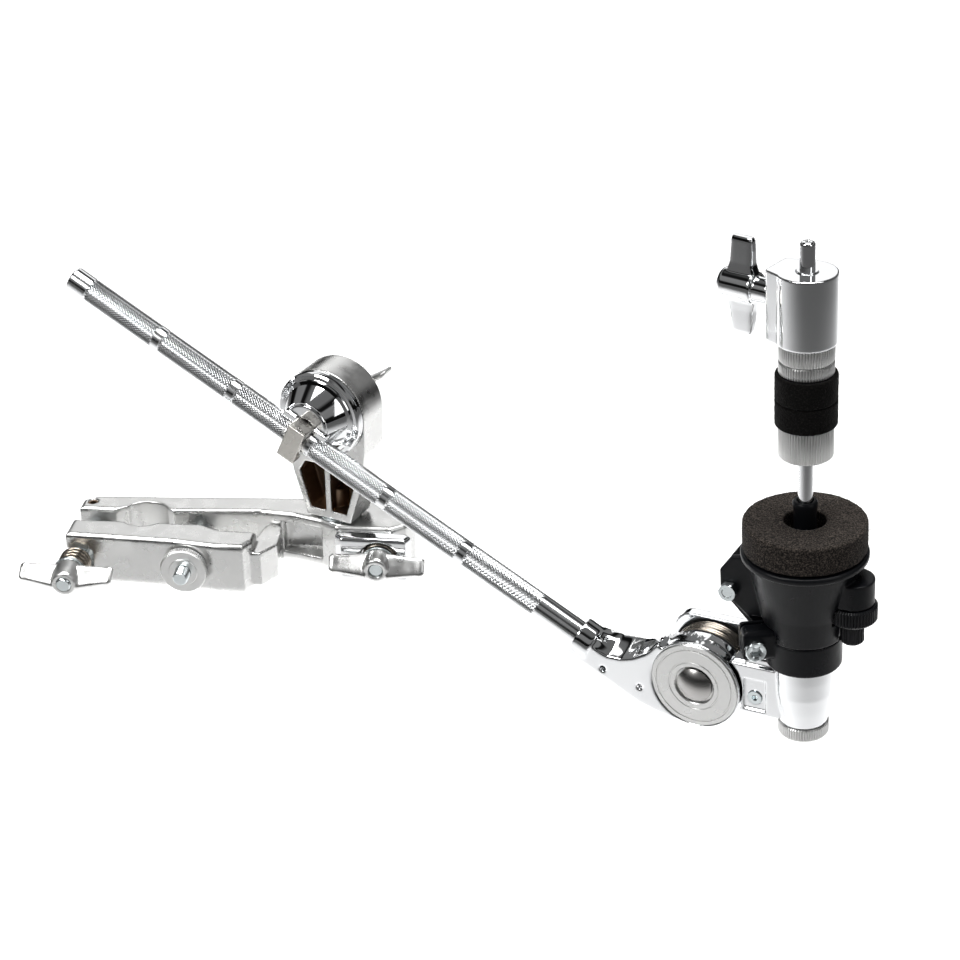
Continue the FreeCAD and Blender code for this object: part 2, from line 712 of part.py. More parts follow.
node(tilter_disc(), "tilter_disc", BOOM)


def tilter_bolt():
    x = S.hinge_along
    z = S.hinge_above
    dome = doc.addObject("Part::Sphere", "Dome")
    dome.Radius = 13.5
    set_down(dome, (x, arm_front + 10.2, z))
    head = doc.addObject("Part::Common", "Head")
    head.Base = dome
    head.Tool = cylinder(9.0, 4, (x, arm_front - 4.01, z), "y")
    shank = cylinder(S.tilter_bolt_radius, 46, (x, arm_front - 0.4, z), "y")
    return fuse(head, shank)


node(tilter_bolt(), "tilter_bolt", BOOM)


# ---------------------------------------------------------------- bracket

hinge_x = S.rod_hinge_x
hinge_z = S.rod_hinge_z
tilter_depth = S.tilter_front - S.rod_y


def tilter_bracket():
    """A drum and a rear ear on the tilter axis, joined by a block to the barrel of the rod."""
    gap_radius = S.disc_radius + 0.6
    bore = S.tilter_bolt_radius + S.running_gap
    drum = cylinder(S.disc_radius - 0.6, 5.6, (hinge_x, tilter_depth + 7.9, hinge_z), "y")
    ear = box((-69.0, tilter_depth + 20.6, -111.0), (-12.0, tilter_depth + 26.4, -67.8))
    ear = cut(rounded(ear, 9.0, along_y), cylinder(S.collar_radius + 0.5, 12, (0, 0, S.collar_bottom - 0.4)))
    block = box((-34.0, tilter_depth + 2.6, -104.0), (-8.0, tilter_depth + 26.4, -78.0))
    block = rounded(block, 1.5, along_y)
    shelf = box((-26.0, tilter_depth + 4.6, -79.0), (-8.0, tilter_depth + 20, -74.5))
    barrel_middle = -78.0
    barrel = cylinder(S.barrel_radius, S.barrel_top - barrel_middle, (0, 0, barrel_middle))
    lower = cylinder(S.barrel_belly, 6.8, (0, 0, -81.0))
    levels = [(-81.0, S.barrel_belly), (-89.8, 13.7), (-97.6, 12.7), (S.barrel_bottom, S.barrel_foot)]
    for (top, upper), (bottom, under) in zip(levels, levels[1:]):
        lower = fuse(lower, cone(under, upper, as_size(top) - bottom, (0, 0, bottom)))
    recess = box((-26.4, tilter_depth + 2, -102.0), (-15.2, tilter_depth + 3.8, -85.2))
    arm_space = cylinder(gap_radius, 8.0, (hinge_x, tilter_depth - 0.3, hinge_z), "y")
    spring_space = cylinder(gap_radius, 6.8, (hinge_x, tilter_depth + 13.65, hinge_z), "y")
    block = cut(fuse(block, shelf), arm_space, spring_space, recess)
    return cut(
        fuse(drum, ear, block, barrel, lower),
        cylinder(bore, 40, (hinge_x, tilter_depth, hinge_z), "y"),
        cylinder(S.rod_radius, S.barrel_top - S.barrel_bottom + 2, (0, 0, S.barrel_bottom - 1)),
        cylinder(3.4, 9, (-21.0, tilter_depth + 1, -95.5), "y"))


node(tilter_bracket(), "tilter_bracket", ROD)
ring = tube(22.2, S.tilter_bolt_radius + S.free_gap, 0.9, (hinge_x, tilter_depth + 13.9, hinge_z), "y")
node(ring, "brake_ring", ROD)
coil = tube(21.4, 18.6, 5.0, (hinge_x, tilter_depth + 15.2, hinge_z), "y")
node(coil, "tilter_spring", ROD)


def hex_prism(across_corners, height, base, along="z"):
    item = doc.addObject("Part::Prism", "Hexagon")
    item.Polygon = 6
    bind(item, "Circumradius", across_corners)
    bind(item, "Height", height)
    return set_down(item, base, along)


screw = cut(
    cylinder(3.4, 6.0, (-21.0, tilter_depth + 3.1, -95.5), "y"),
    hex_prism(1.7, 3.0, (-21.0, tilter_depth + 2.6, -95.5), "y"))
node(screw, "bracket_set_screw", ROD)
nut = cut(
    hex_prism(10.4, 7.0, (hinge_x, tilter_depth + 26.8, hinge_z), "y"),
    cylinder(S.tilter_bolt_radius + S.running_gap, 9, (hinge_x, tilter_depth + 26, hinge_z), "y"))
node(nut, "tilter_nut", ROD)


# ---------------------------------------------------------------- hi-hat rod

rod = cylinder(S.rod_radius, S.rod_tip - S.barrel_bottom + 3, (0, 0, S.barrel_bottom - 3))
rod = bevelled(rod, 1.0, lambda edge: at_height(edge, S.rod_tip.number))
node(rod, "hihat_rod", ROD)
knob = cut(
    cylinder(12.0, 7.0, (0, 0, S.barrel_bottom - S.free_gap - 7)),
    cylinder(S.rod_radius + S.running_gap, 6.0, (0, 0, S.barrel_bottom - S.free_gap - 4)))
knob = bevelled(knob, 1.0, lambda edge: edge.BoundBox.ZMax < -113 and edge.BoundBox.XMax > 11)
node(knob, "bottom_knob", ROD)


# ---------------------------------------------------------------- cymbal seat

LUG = FreeCAD.Placement(Vector(0, 0, 0), turn_about((0, 0, 1), S.collar_lug_turn.number))

def seat_collar():
    """A split ring on the barrel, with an arm up to the seat's pivot and a clamping lug."""
    ring = cylinder(S.collar_radius, S.collar_top - S.collar_bottom, (0, 0, S.collar_bottom))
    ring = rounded(ring, 1.0, lambda edge: at_height(edge, S.collar_bottom.number))
    arm = plate(
        [(-14.0, -70.0), (-26.5, -56.5), (-37.5, -45.0), (-38.5, -38.0), (-35.0, -34.5),
         (-30.0, -34.5), (-28.0, -42.0), (-20.0, -54.0), (-14.0, -60.0)],
        9.6, -4.8, "xz")
    lug = box((-30.0, -9.0, -68.0), (-12.0, 4.0, -52.0))
    lug = rounded(lug, 3.0, lambda edge: at_height(edge, -68.0, -52.0))
    lug = moved(lug, LUG)
    slit = moved(box((-34.0, -1.0, -75.0), (-10.0, 1.0, -50.0)), LUG)
    pivot = cylinder(2.5, 20, (S.seat_pivot_x, -10, S.seat_pivot_z), "y")
    return cut(
        fuse(ring, arm, lug), slit, pivot,
        cylinder(S.barrel_radius, 30, (0, 0, -78)),
        seat_screw_hole(3.0, 30, 14))


def seat_screw_hole(radius, length, start):
    """A bore across the collar's lug."""
    return moved(cylinder(radius, length, (-24.5, -start, -60.5), "y"), LUG)


node(seat_collar(), "seat_collar", ROD)
screw = fuse(seat_screw_hole(3.0, 13.2, 9.2), seat_screw_hole(5.0, 3.6, 12.7))
node(screw, "seat_clamp_screw", ROD)


def seat_cup():
    """The tilting seat: a rim and a tapered skirt, with cheeks at its pivot and a screw lug."""
    rim = cylinder(S.seat_radius, 3.6, (0, 0, -S.felt_height - 4.0))
    rim = rounded(rim, 1.2, lambda edge: True)
    neck = -44.4
    skirt = fuse(
        cone(20.4, 26.4, 26.0, (0, 0, neck)),
        cone(18.2, 20.4, as_size(neck) - S.skirt_bottom, (0, 0, S.skirt_bottom)))
    cheeks = []
    for low in (-8.4, 5.2):
        cheek = plate(
            [(-14.0, -57.8), (-20.0, -56.5), (-32.0, -46.0), (-38.4, -43.0),
             (-38.6, -30.0), (-33.0, -22.0), (-20.0, -19.0)],
            3.2, low, "xz")
        cheeks.append(rounded(cheek, 1.0, lambda edge: not along_y(edge)))
    lug = fuse(
        cylinder(9.9, 12.6, (S.seat_screw_x, 0, -37.6)),
        box((13.0, -9.9, -37.6), (S.seat_screw_x, 9.9, -25.0)))
    hollow = fuse(
        cone(15.6, 22.0, 27.0, (0, 0, -46.0)),
        cylinder(15.6, 16, (0, 0, -61.0)))
    return cut(
        fuse(rim, skirt, lug, *cheeks),
        hollow,
        box((-40.0, -5.15, -61.0), (-14.0, 5.15, -21.0)),
        moved(box((-32.0, -10.4, -61.0), (-8.0, 5.4, -51.0)), LUG),
        cylinder(S.felt_hole, 10, (0, 0, -22.0)),
        cylinder(2.9, 22.5, (S.seat_screw_x, 0, -38.5)),
        cylinder(S.seat_nut_radius + 0.4, 9.3, (S.seat_screw_x, 0, -46.9)),
        cylinder(6.2, 16, (S.seat_screw_x, 0, -62.0)),
        cylinder(2.5 + S.running_gap.number, 24, (S.seat_pivot_x, -12, S.seat_pivot_z), "y"))


node(seat_cup(), "seat_cup", ROD)
bolt = fuse(
    cylinder(2.5, 21.0, (S.seat_pivot_x, -9.2, S.seat_pivot_z), "y"),
    hex_prism(4.8, 3.4, (S.seat_pivot_x, -12.2, S.seat_pivot_z), "y"))
node(bolt, "seat_pivot_bolt", ROD)
nut = cut(
    hex_prism(4.8, 3.2, (S.seat_pivot_x, 8.8, S.seat_pivot_z), "y"),
    cylinder(2.5, 5, (S.seat_pivot_x, 8, S.seat_pivot_z), "y"))
node(nut, "seat_pivot_nut", ROD)
screw = fuse(
    cylinder(2.9, 36.0, (S.seat_screw_x, 0, -57.0)),
    rounded(cylinder(5.5, 11.7, (S.seat_screw_x, 0, -58.6)), 1.2, lambda edge: True))
node(screw, "seat_adjust_screw", ROD)
nut = tube(
    S.seat_nut_radius, 2.9 + S.running_gap.number, S.seat_nut_top - S.seat_nut_bottom,
    (S.seat_screw_x, 0, S.seat_nut_bottom))
node(nut, "seat_thumb_nut", ROD)
sleeve = fuse(
    cylinder(S.sleeve_radius, S.sleeve_top - S.barrel_top - S.free_gap, (0, 0, S.barrel_top + S.free_gap)),
    cylinder(9.0, 3.0, (0, 0, S.barrel_top + S.free_gap)))
sleeve = cut(sleeve, cylinder(S.rod_radius, 70, (0, 0, S.barrel_top - 1)))
node(sleeve, "cymbal_sleeve", ROD)
felt = tube(S.felt_radius, S.felt_hole, S.felt_height - 0.3, (0, 0, -S.felt_height + 0.3))
node(felt, "seat_felt", ROD)


# ---------------------------------------------------------------- clutch

def across_clutch(item):
    """Turn a piece made along -x to the direction of the clutch's wing screw."""
    return moved(item, FreeCAD.Placement(
        Vector(0, 0, 0), turn_about((0, 0, 1), -S.clutch_screw_turn.number)))


def clutch_body():
    height = S.clutch_body_top - S.clutch_body_bottom
    bottom = S.clutch_body_bottom
    post_part = cylinder(S.clutch_body_radius, height, (0, 0, bottom))
    wedge = plate(
        [(-16.6, -8.3), (1.0, -13.3), (1.0, 13.3), (-16.6, 8.3)], height, bottom)
    wedge = rounded(wedge, 2.4, lambda edge: upright(edge) and edge.BoundBox.XMax < -16)
    solid = fuse(across_clutch(wedge), post_part)
    screw_hole = across_clutch(cylinder(2.6, 20, (-24, 0, S.clutch_screw_height), "x"))
    return cut(solid, cylinder(S.clutch_tube_radius, 40, (0, 0, 85)), screw_hole)


node(clutch_body(), "clutch_body", ROD)


def clutch_wing_screw():
    height = S.clutch_screw_height
    shank = cylinder(2.6 - S.running_gap.number, 12.4, (-17.2, 0, height), "x")
    collar = cylinder(6.4, 9.0, (-26.0, 0, height), "x")
    boss = cylinder(7.4, 17.6, (-43.5, 0, height), "x")
    wings = plate(
        [(-38.6, -23.0), (-27.2, -22.0), (-25.0, -5.0), (-25.0, 5.0), (-27.4, 22.4), (-38.2, 23.6),
         (-40.6, 6.0), (-40.6, -6.0)],
        6.4, -3.2, "xz")
    wings.Placement = FreeCAD.Placement(Vector(0, -3.2, height.number), FreeCAD.Rotation())
    wings = rounded(wings, 1.4, lambda edge: True)
    return across_clutch(fuse(shank, collar, boss, wings))


node(clutch_wing_screw(), "clutch_wing_screw", ROD)
pipe = tube(S.clutch_tube_radius, S.rod_radius + S.running_gap, 87.6, (0, 0, 33.9))
node(pipe, "clutch_tube", ROD)
nut_bore = S.clutch_tube_radius + S.running_gap
STACK = [
    ("clutch_bottom_nut", S.clutch_nut_radius, S.clutch_bottom, 15.4),
    ("clutch_lower_felt", S.clutch_felt_radius, S.clutch_bottom + 15.6, 12.2),
    ("clutch_upper_felt", S.clutch_felt_radius, S.clutch_bottom + 28.0, 12.2),
    ("clutch_upper_nut", S.clutch_nut_radius, S.clutch_bottom + 40.4, 6.0),
    ("clutch_lock_nut", S.clutch_nut_radius, S.clutch_bottom + 46.6, 8.0),
]
for label, radius, start, height in STACK:
    node(tube(radius, nut_bore, height, (0, 0, start)), label, ROD)


# ---------------------------------------------------------------- checks and export

doc.recompute()
problems = [item.Name for item in doc.Objects if {"Invalid", "Error"} & set(item.State)]
problems += [item.Label for item in NODES if item.Shape.isNull() or not item.Shape.isValid()]
if problems:
    raise RuntimeError("failed objects: %s" % ", ".join(problems))

os.makedirs("parts", exist_ok=True)
for item in NODES:
    solids = len(item.Shape.Solids)
    print("%-22s solids %d  volume %9.1f mm3" % (item.Label, solids, item.Shape.Volume))
    item.Shape.exportStep("parts/%s.step" % item.Label)
print(len(NODES), "nodes")
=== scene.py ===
import json
import math
import random

import bmesh
import bpy
from mathutils import Matrix, Vector, noise

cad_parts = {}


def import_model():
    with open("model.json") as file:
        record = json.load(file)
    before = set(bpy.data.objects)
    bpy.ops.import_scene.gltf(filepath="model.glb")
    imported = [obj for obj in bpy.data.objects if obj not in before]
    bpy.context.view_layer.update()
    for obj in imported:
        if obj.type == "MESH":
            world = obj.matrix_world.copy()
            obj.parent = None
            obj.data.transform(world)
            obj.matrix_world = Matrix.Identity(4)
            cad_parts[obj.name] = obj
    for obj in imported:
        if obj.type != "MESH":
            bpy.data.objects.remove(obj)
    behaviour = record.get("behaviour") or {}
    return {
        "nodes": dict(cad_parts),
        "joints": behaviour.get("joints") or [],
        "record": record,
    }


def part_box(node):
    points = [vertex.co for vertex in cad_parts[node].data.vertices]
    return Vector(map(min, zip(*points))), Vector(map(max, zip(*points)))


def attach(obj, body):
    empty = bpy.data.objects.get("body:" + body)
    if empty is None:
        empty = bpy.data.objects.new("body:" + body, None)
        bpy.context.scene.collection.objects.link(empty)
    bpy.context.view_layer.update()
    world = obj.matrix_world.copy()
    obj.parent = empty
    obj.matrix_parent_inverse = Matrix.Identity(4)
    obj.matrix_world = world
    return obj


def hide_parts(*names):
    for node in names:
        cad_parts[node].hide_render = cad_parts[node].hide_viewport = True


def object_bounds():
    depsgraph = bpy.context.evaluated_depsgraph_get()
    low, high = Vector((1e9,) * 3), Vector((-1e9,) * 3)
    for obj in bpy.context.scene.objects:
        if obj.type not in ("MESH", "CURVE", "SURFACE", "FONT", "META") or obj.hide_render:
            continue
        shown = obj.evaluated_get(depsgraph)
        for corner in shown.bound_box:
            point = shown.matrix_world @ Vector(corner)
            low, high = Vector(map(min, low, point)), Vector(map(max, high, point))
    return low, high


# A clamp-on closed hi-hat boom. Pieces are made in millimetres, in the local frame of the part
# of the object that they belong to, and are then carried to the row's frame in metres.

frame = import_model()
cad_low, cad_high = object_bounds()
JOINTS = {joint["name"]: joint for joint in frame["joints"]}
MOUNTS = {mount["name"]: mount for mount in frame["record"]["mounts"]}
BODIES = frame["record"]["behaviour"]["bodies"]
BODY_OF = {node: body for body, nodes in BODIES.items() for node in nodes}
MM = 0.001
rng = random.Random(7)    # for the felts' loose fibres


# ---------------------------------------------------------------- local frames

def local(origin, x_axis, z_axis):
    """A frame with its origin in metres, whose own unit is the millimetre."""
    x = Vector(x_axis).normalized()
    z = Vector(z_axis).normalized()
    turn = Matrix((x, z.cross(x), z)).transposed().to_4x4()
    return Matrix.Translation(Vector(origin)) @ turn @ Matrix.Scale(MM, 4)


def at(place, x=0.0, y=0.0, z=0.0):
    """The frame moved along its own axes, in millimetres."""
    return place @ Matrix.Translation((x, y, z))


def turned(place, angle, axis):
    """The frame turned about one of its own axes, in degrees."""
    return place @ Matrix.Rotation(math.radians(angle), 4, axis)


UP = Vector((0, 0, 1))
BACK = Vector((0, 1, 0))
clamp_y = Vector(JOINTS["left_nut_travel"]["axis"])
CLAMP = local(MOUNTS["stand_tube"]["pos_m"], clamp_y.cross(UP), UP)

boom_x = Vector(JOINTS["boom_slide"]["axis"])
# The boom frame's origin is 4 mm from the clamp's centre, towards the free end.
TUBE_MIDDLE = 29.6    # middle of the tube from that origin
tube_low, tube_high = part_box("boom_tube")
BOOM = at(local((tube_low + tube_high) / 2, boom_x, boom_x.cross(BACK)), -TUBE_MIDDLE)

rod_z = Vector(MOUNTS["cymbal_seat"]["axis"])
SEAT_MOUNT_X = 19.0    # the seat's mount from the rod's axis, on top of the felt
ROD = at(local(MOUNTS["cymbal_seat"]["pos_m"], BACK.cross(rod_z), rod_z), -SEAT_MOUNT_X)

cone_at = JOINTS["boom_clamp_turn"]["pos_m"]
CONE = local((cone_at[0], 0, cone_at[2]), (1, 0, 0), UP)
HINGE = local(JOINTS["tilter_hinge"]["pos_m"], boom_x, boom_x.cross(BACK))

ALONG_X = Matrix.Rotation(math.radians(90), 4, "Y")
ALONG_Y = Matrix.Rotation(math.radians(-90), 4, "X")
TOWARDS_VIEWER = Matrix.Rotation(math.radians(90), 4, "X")


# ---------------------------------------------------------------- materials

def shader(name, colour, roughness, metallic=0.0, **fixed):
    """A new material with its principled shader; fixed values go straight on the sockets."""
    material = bpy.data.materials.new(name)
    material.use_nodes = True
    principled = material.node_tree.nodes["Principled BSDF"]
    principled.inputs["Base Color"].default_value = (*colour, 1)
    principled.inputs["Roughness"].default_value = roughness
    principled.inputs["Metallic"].default_value = metallic
    for socket, value in fixed.items():
        principled.inputs[socket.replace("_", " ")].default_value = value
    return material, material.node_tree, principled


def noise_node(tree, scale, detail=3.0, stretch=(1, 1, 1)):
    """Noise in the object's own space, in cells per metre."""
    place = tree.nodes.new("ShaderNodeTexCoord")
    mapping = tree.nodes.new("ShaderNodeMapping")
    mapping.inputs["Scale"].default_value = stretch
    tree.links.new(place.outputs["Object"], mapping.inputs["Vector"])
    texture = tree.nodes.new("ShaderNodeTexNoise")
    texture.inputs["Scale"].default_value = scale
    texture.inputs["Detail"].default_value = detail
    tree.links.new(mapping.outputs["Vector"], texture.inputs["Vector"])
    return texture.outputs["Fac"]


NOISE_LOW = 0.3     # most of a noise texture's values lie between these two
NOISE_HIGH = 0.7


def spread(tree, source, low, high, target):
    """Map a noise value to a range and feed it to a socket."""
    ramp = tree.nodes.new("ShaderNodeMapRange")
    ramp.inputs["From Min"].default_value = NOISE_LOW
    ramp.inputs["From Max"].default_value = NOISE_HIGH
    ramp.inputs["To Min"].default_value = low
    ramp.inputs["To Max"].default_value = high
    tree.links.new(source, ramp.inputs["Value"])
    tree.links.new(ramp.outputs["Result"], target)


def tint(tree, source, dark, light, target, start=0.35, end=0.65):
    """Mix two colours by a noise value and feed the result to a socket."""
    ramp = tree.nodes.new("ShaderNodeValToRGB")
    ramp.color_ramp.elements[0].position = start
    ramp.color_ramp.elements[1].position = end
    ramp.color_ramp.elements[0].color = (*dark, 1)
    ramp.color_ramp.elements[1].color = (*light, 1)
    tree.links.new(source, ramp.inputs["Fac"])
    tree.links.new(ramp.outputs["Color"], target)


def bumped(tree, source, principled, depth_mm):
    """Raise a fine grain on the surface."""
    bump = tree.nodes.new("ShaderNodeBump")
    bump.inputs["Strength"].default_value = 1.0
    bump.inputs["Distance"].default_value = depth_mm * MM
    tree.links.new(source, bump.inputs["Height"])
    tree.links.new(bump.outputs["Normal"], principled.inputs["Normal"])


PATCH_GRAINS = 8      # a patch of tone or roughness is this many grains wide
PATCH_SHADE = 0.93    # a dark patch's tone, as a share of the metal's


def metal(name, colour, low, high, grain, depth_mm=0.0, stretch=(1, 1, 1)):
    """Metal whose roughness and tone vary a little over the surface."""
    material, tree, principled = shader(name, colour, low, 1.0)
    patches = noise_node(tree, grain / PATCH_GRAINS, 2.0)
    fine = noise_node(tree, grain, 4.0, stretch)
    spread(tree, patches, low, high, principled.inputs["Roughness"])
    darker = tuple(value * PATCH_SHADE for value in colour)
    tint(tree, patches, darker, colour, principled.inputs["Base Color"])
    if depth_mm:
        bumped(tree, fine, principled, depth_mm)
    return material


def plastic(name, colour, roughness, grain, depth_mm):
    """Moulded plastic, finely grained, with broad and faint changes of gloss."""
    material, tree, principled = shader(name, colour, roughness, 0.0, Specular_IOR_Level=0.22)
    fine = noise_node(tree, grain, 3.0)
    gloss = noise_node(tree, grain / 20, 2.0)
    spread(tree, gloss, roughness - 0.07, roughness + 0.08, principled.inputs["Roughness"])
    bumped(tree, fine, principled, depth_mm)
    return material


def felt(name, dark, light, start, end):
    """Pressed wool: pale fibres in a dark ground."""
    material, tree, principled = shader(
        name, dark, 1.0, 0.0, Sheen_Weight=0.06, Specular_IOR_Level=0.1)
    fibres = noise_node(tree, 1500, 5.0)
    tint(tree, fibres, dark, light, principled.inputs["Base Color"], start, end)
    bumped(tree, noise_node(tree, 1100, 6.0), principled, 0.5)
    return material


LOOKS = {
    "cast_alloy": metal("cast_alloy", (0.76, 0.76, 0.75), 0.22, 0.36, 900, 0.02),
    "polished_chrome": metal("polished_chrome", (0.86, 0.87, 0.88), 0.03, 0.07, 240),
    "satin_nut": metal("satin_nut", (0.78, 0.78, 0.77), 0.30, 0.42, 1200, 0.02),
    "knurled_boom": metal("knurled_boom", (0.88, 0.89, 0.90), 0.14, 0.20, 300),
    "nickel_strap": metal("nickel_strap", (0.66, 0.64, 0.60), 0.24, 0.34, 1600, 0.01, (6, 1, 1)),
    "zinc_bolt": metal("zinc_bolt", (0.72, 0.77, 0.78), 0.16, 0.28, 500, 0.01),
    "spring_steel": metal("spring_steel", (0.37, 0.33, 0.28), 0.18, 0.30, 400, 0.01),
    "black_plastic": plastic("black_plastic", (0.004, 0.0045, 0.006), 0.34, 2600, 0.02),
    "black_rubber": plastic("black_rubber", (0.015, 0.015, 0.015), 0.62, 1800, 0.03),
    "seat_felt": felt("seat_felt", (0.009, 0.0075, 0.0065), (0.12, 0.10, 0.085), 0.44, 0.76),
    "clutch_felt": felt("clutch_felt", (0.0025, 0.0022, 0.002), (0.022, 0.020, 0.018), 0.52, 0.80),
    # Painted reflection and shade: the inside of the post's pockets is painted this dark brown, in
    # place of the brownish reflections and shade there. The roll pins are made of the same brown
    # metal.
    "brown_pins_and_painted_pocket_reflection": metal("brown_pins_and_painted_pocket_reflection", (0.26, 0.18, 0.12), 0.35, 0.50, 500, 0.05),
    "satin_disc": metal("satin_disc", (0.72, 0.72, 0.71), 0.24, 0.34, 700, 0.012),
    "dark_dome": metal("dark_dome", (0.44, 0.43, 0.42), 0.20, 0.28, 300),
}

SLOT_OF = {part["node"]: part["material_slot"] for part in frame["record"]["subparts"]}
for name, cad_node in frame["nodes"].items():
    cad_node.data.materials.clear()
    cad_node.data.materials.append(LOOKS[SLOT_OF[name]])


# ---------------------------------------------------------------- mesh tools

def ring_faces(mesh, lower, upper):
    """Join two rings of equal count by a band of faces."""
    count = len(lower)
    for i in range(count):
        j = (i + 1) % count
        mesh.faces.new((lower[i], lower[j], upper[j], upper[i]))


def lathe(profile, steps=72, ripple=None, closed=True):
    """Turn a profile of (radius, height) points about z. ripple(angle number, radius, height)
    gives each point's radius. A closed profile makes a ring, an open one is capped."""
    mesh = bmesh.new()
    rings = []
    for radius, height in profile:
        ring = []
        for i in range(steps):
            angle = 2 * math.pi * i / steps
            reach = ripple(i, radius, height) if ripple else radius
            ring.append(mesh.verts.new((reach * math.cos(angle), reach * math.sin(angle), height)))
        rings.append(ring)
    for lower, upper in zip(rings, rings[1:]):
        ring_faces(mesh, lower, upper)
    if closed:
        ring_faces(mesh, rings[-1], rings[0])
    else:
        mesh.faces.new(rings[0][::-1])
        mesh.faces.new(rings[-1])
    return mesh


def loft(sections):
    """Join rings of equal count, and close both ends."""
    mesh = bmesh.new()
    rings = [[mesh.verts.new(point) for point in section] for section in sections]
    for lower, upper in zip(rings, rings[1:]):
        ring_faces(mesh, lower, upper)
    mesh.faces.new(rings[0][::-1])
    mesh.faces.new(rings[-1])
    bmesh.ops.recalc_face_normals(mesh, faces=mesh.faces)
    return mesh


def oval(centre, across, along, half_across, half_along, power, count=28):
    """A rounded box section about a centre, in the plane of two directions."""
    points = []
    for i in range(count):
        angle = 2 * math.pi * i / count
        c = math.cos(angle)
        s = math.sin(angle)
        u = math.copysign(abs(c) ** (2 / power), c) * half_across
        v = math.copysign(abs(s) ** (2 / power), s) * half_along
        points.append(Vector(centre) + Vector(across) * u + Vector(along) * v)
    return points


def wire_along(points, radius, sides=12):
    """A round wire through a list of points."""
    sections = []
    for i, point in enumerate(points):
        ahead = points[min(i + 1, len(points) - 1)] - points[max(i - 1, 0)]
        upright = abs(ahead.normalized().z) >= 0.9
        side = Vector((1, 0, 0)) if upright else ahead.cross(UP).normalized()
        other = ahead.cross(side).normalized()
        sections.append(oval(point, side, other, radius, radius, 2.0, sides))
    return loft(sections)


def coil(mean_radius, wire_radius, length, turns, start=0.0):
    """A compression spring along z, with its end turns lying flat."""
    steps_per_turn = 40
    flat_turns = 0.6
    steps = int(turns * steps_per_turn)
    points = []
    for i in range(steps + 1):
        share = i / steps
        angle = 2 * math.pi * turns * share + math.radians(start)
        eased = min(max((share * turns - flat_turns) / (turns - 2 * flat_turns), 0.0), 1.0)
        height = wire_radius + (length - 2 * wire_radius) * eased
        points.append(Vector((mean_radius * math.cos(angle), mean_radius * math.sin(angle), height)))
    return wire_along(points, wire_radius)


def threaded(radius, low, high, pitch=1.25, depth=0.55, steps=28):
    """A bolt's threaded end along z, with a bevelled tip at the high end."""
    rings_per_turn = 6
    tip_length = 0.9
    tip_depth = 0.25
    count = int((high - low) / pitch * rings_per_turn)
    profile = [(radius - depth, low + (high - low) * i / count) for i in range(count + 1)]

    def ripple(i, base, height):
        phase = (height / pitch - i / steps) % 1.0
        ridge = 1 - abs(2 * phase - 1)
        fade = min(1.0, (high - height) / tip_length)
        return base + depth * ridge * fade - tip_depth * (1 - fade)

    return lathe(profile, steps, ripple, closed=False)


def placed(mesh, matrix):
    """The same mesh, moved."""
    bmesh.ops.transform(mesh, matrix=matrix, verts=mesh.verts)
    return mesh


def joined(*meshes):
    """Several shells in one mesh."""
    whole = bmesh.new()
    for mesh in meshes:
        part = bpy.data.meshes.new("part")
        mesh.to_mesh(part)
        whole.from_mesh(part)
        bpy.data.meshes.remove(part)
        mesh.free()
    return whole


def made(name, mesh, place, look, replaced, sharp=32.0):
    """Turn a mesh in local millimetres into a piece that rides on its body. Edges that bend more
    than sharp, in degrees, are drawn sharp."""
    data = bpy.data.meshes.new(name)
    bmesh.ops.recalc_face_normals(mesh, faces=mesh.faces)
    mesh.to_mesh(data)
    mesh.free()
    data.transform(place)
    data.shade_smooth()
    data.set_sharp_from_angle(angle=math.radians(sharp))
    data.materials.append(LOOKS[look])
    piece = bpy.data.objects.new(name, data)
    bpy.context.scene.collection.objects.link(piece)
    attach(piece, BODY_OF[replaced[0]])
    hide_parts(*replaced)
    return piece


def settled(mesh, voxel, rounds):
    """Melt overlapping shells into one skin with soft inner and outer corners."""
    data = bpy.data.meshes.new("melt")
    mesh.to_mesh(data)
    mesh.free()
    piece = bpy.data.objects.new("melt", data)
    bpy.context.scene.collection.objects.link(piece)
    remesh = piece.modifiers.new("Remesh", "REMESH")
    remesh.mode = "VOXEL"
    remesh.voxel_size = voxel
    smooth = piece.modifiers.new("Smooth", "SMOOTH")
    smooth.factor = 0.5
    smooth.iterations = rounds
    result = bmesh.new()
    evaluated = piece.evaluated_get(bpy.context.evaluated_depsgraph_get())
    result.from_mesh(evaluated.to_mesh())
    evaluated.to_mesh_clear()
    bpy.data.objects.remove(piece)
    bpy.data.meshes.remove(data)
    return result


def from_cad(node, place):
    """A copy of a CAD node's mesh, in local millimetres."""
    mesh = bmesh.new()
    mesh.from_mesh(frame["nodes"][node].data)
    bmesh.ops.transform(mesh, matrix=place.inverted(), verts=mesh.verts)
    bmesh.ops.remove_doubles(mesh, verts=mesh.verts, dist=0.001)
    return mesh


# ---------------------------------------------------------------- boom

BOOM_RADIUS = 6.35
BOOM_ENDS = (-142.4, 201.6)     # along the boom's frame, as are the next two
KNURL_ENDS = (-131.0, 151.4)
BAND_FIRST = -85.4              # middle of the first smooth band in the knurl
BAND_COUNT = 5
BAND_STEP = 47.8
BAND_WIDTH = 4.4
FREE_END_BEVEL = 0.9
BAND_BEVEL = 0.15
DIAMONDS_AROUND = 26
DIAMOND_LENGTH = 1.9
KNURL_DEPTH = 0.42


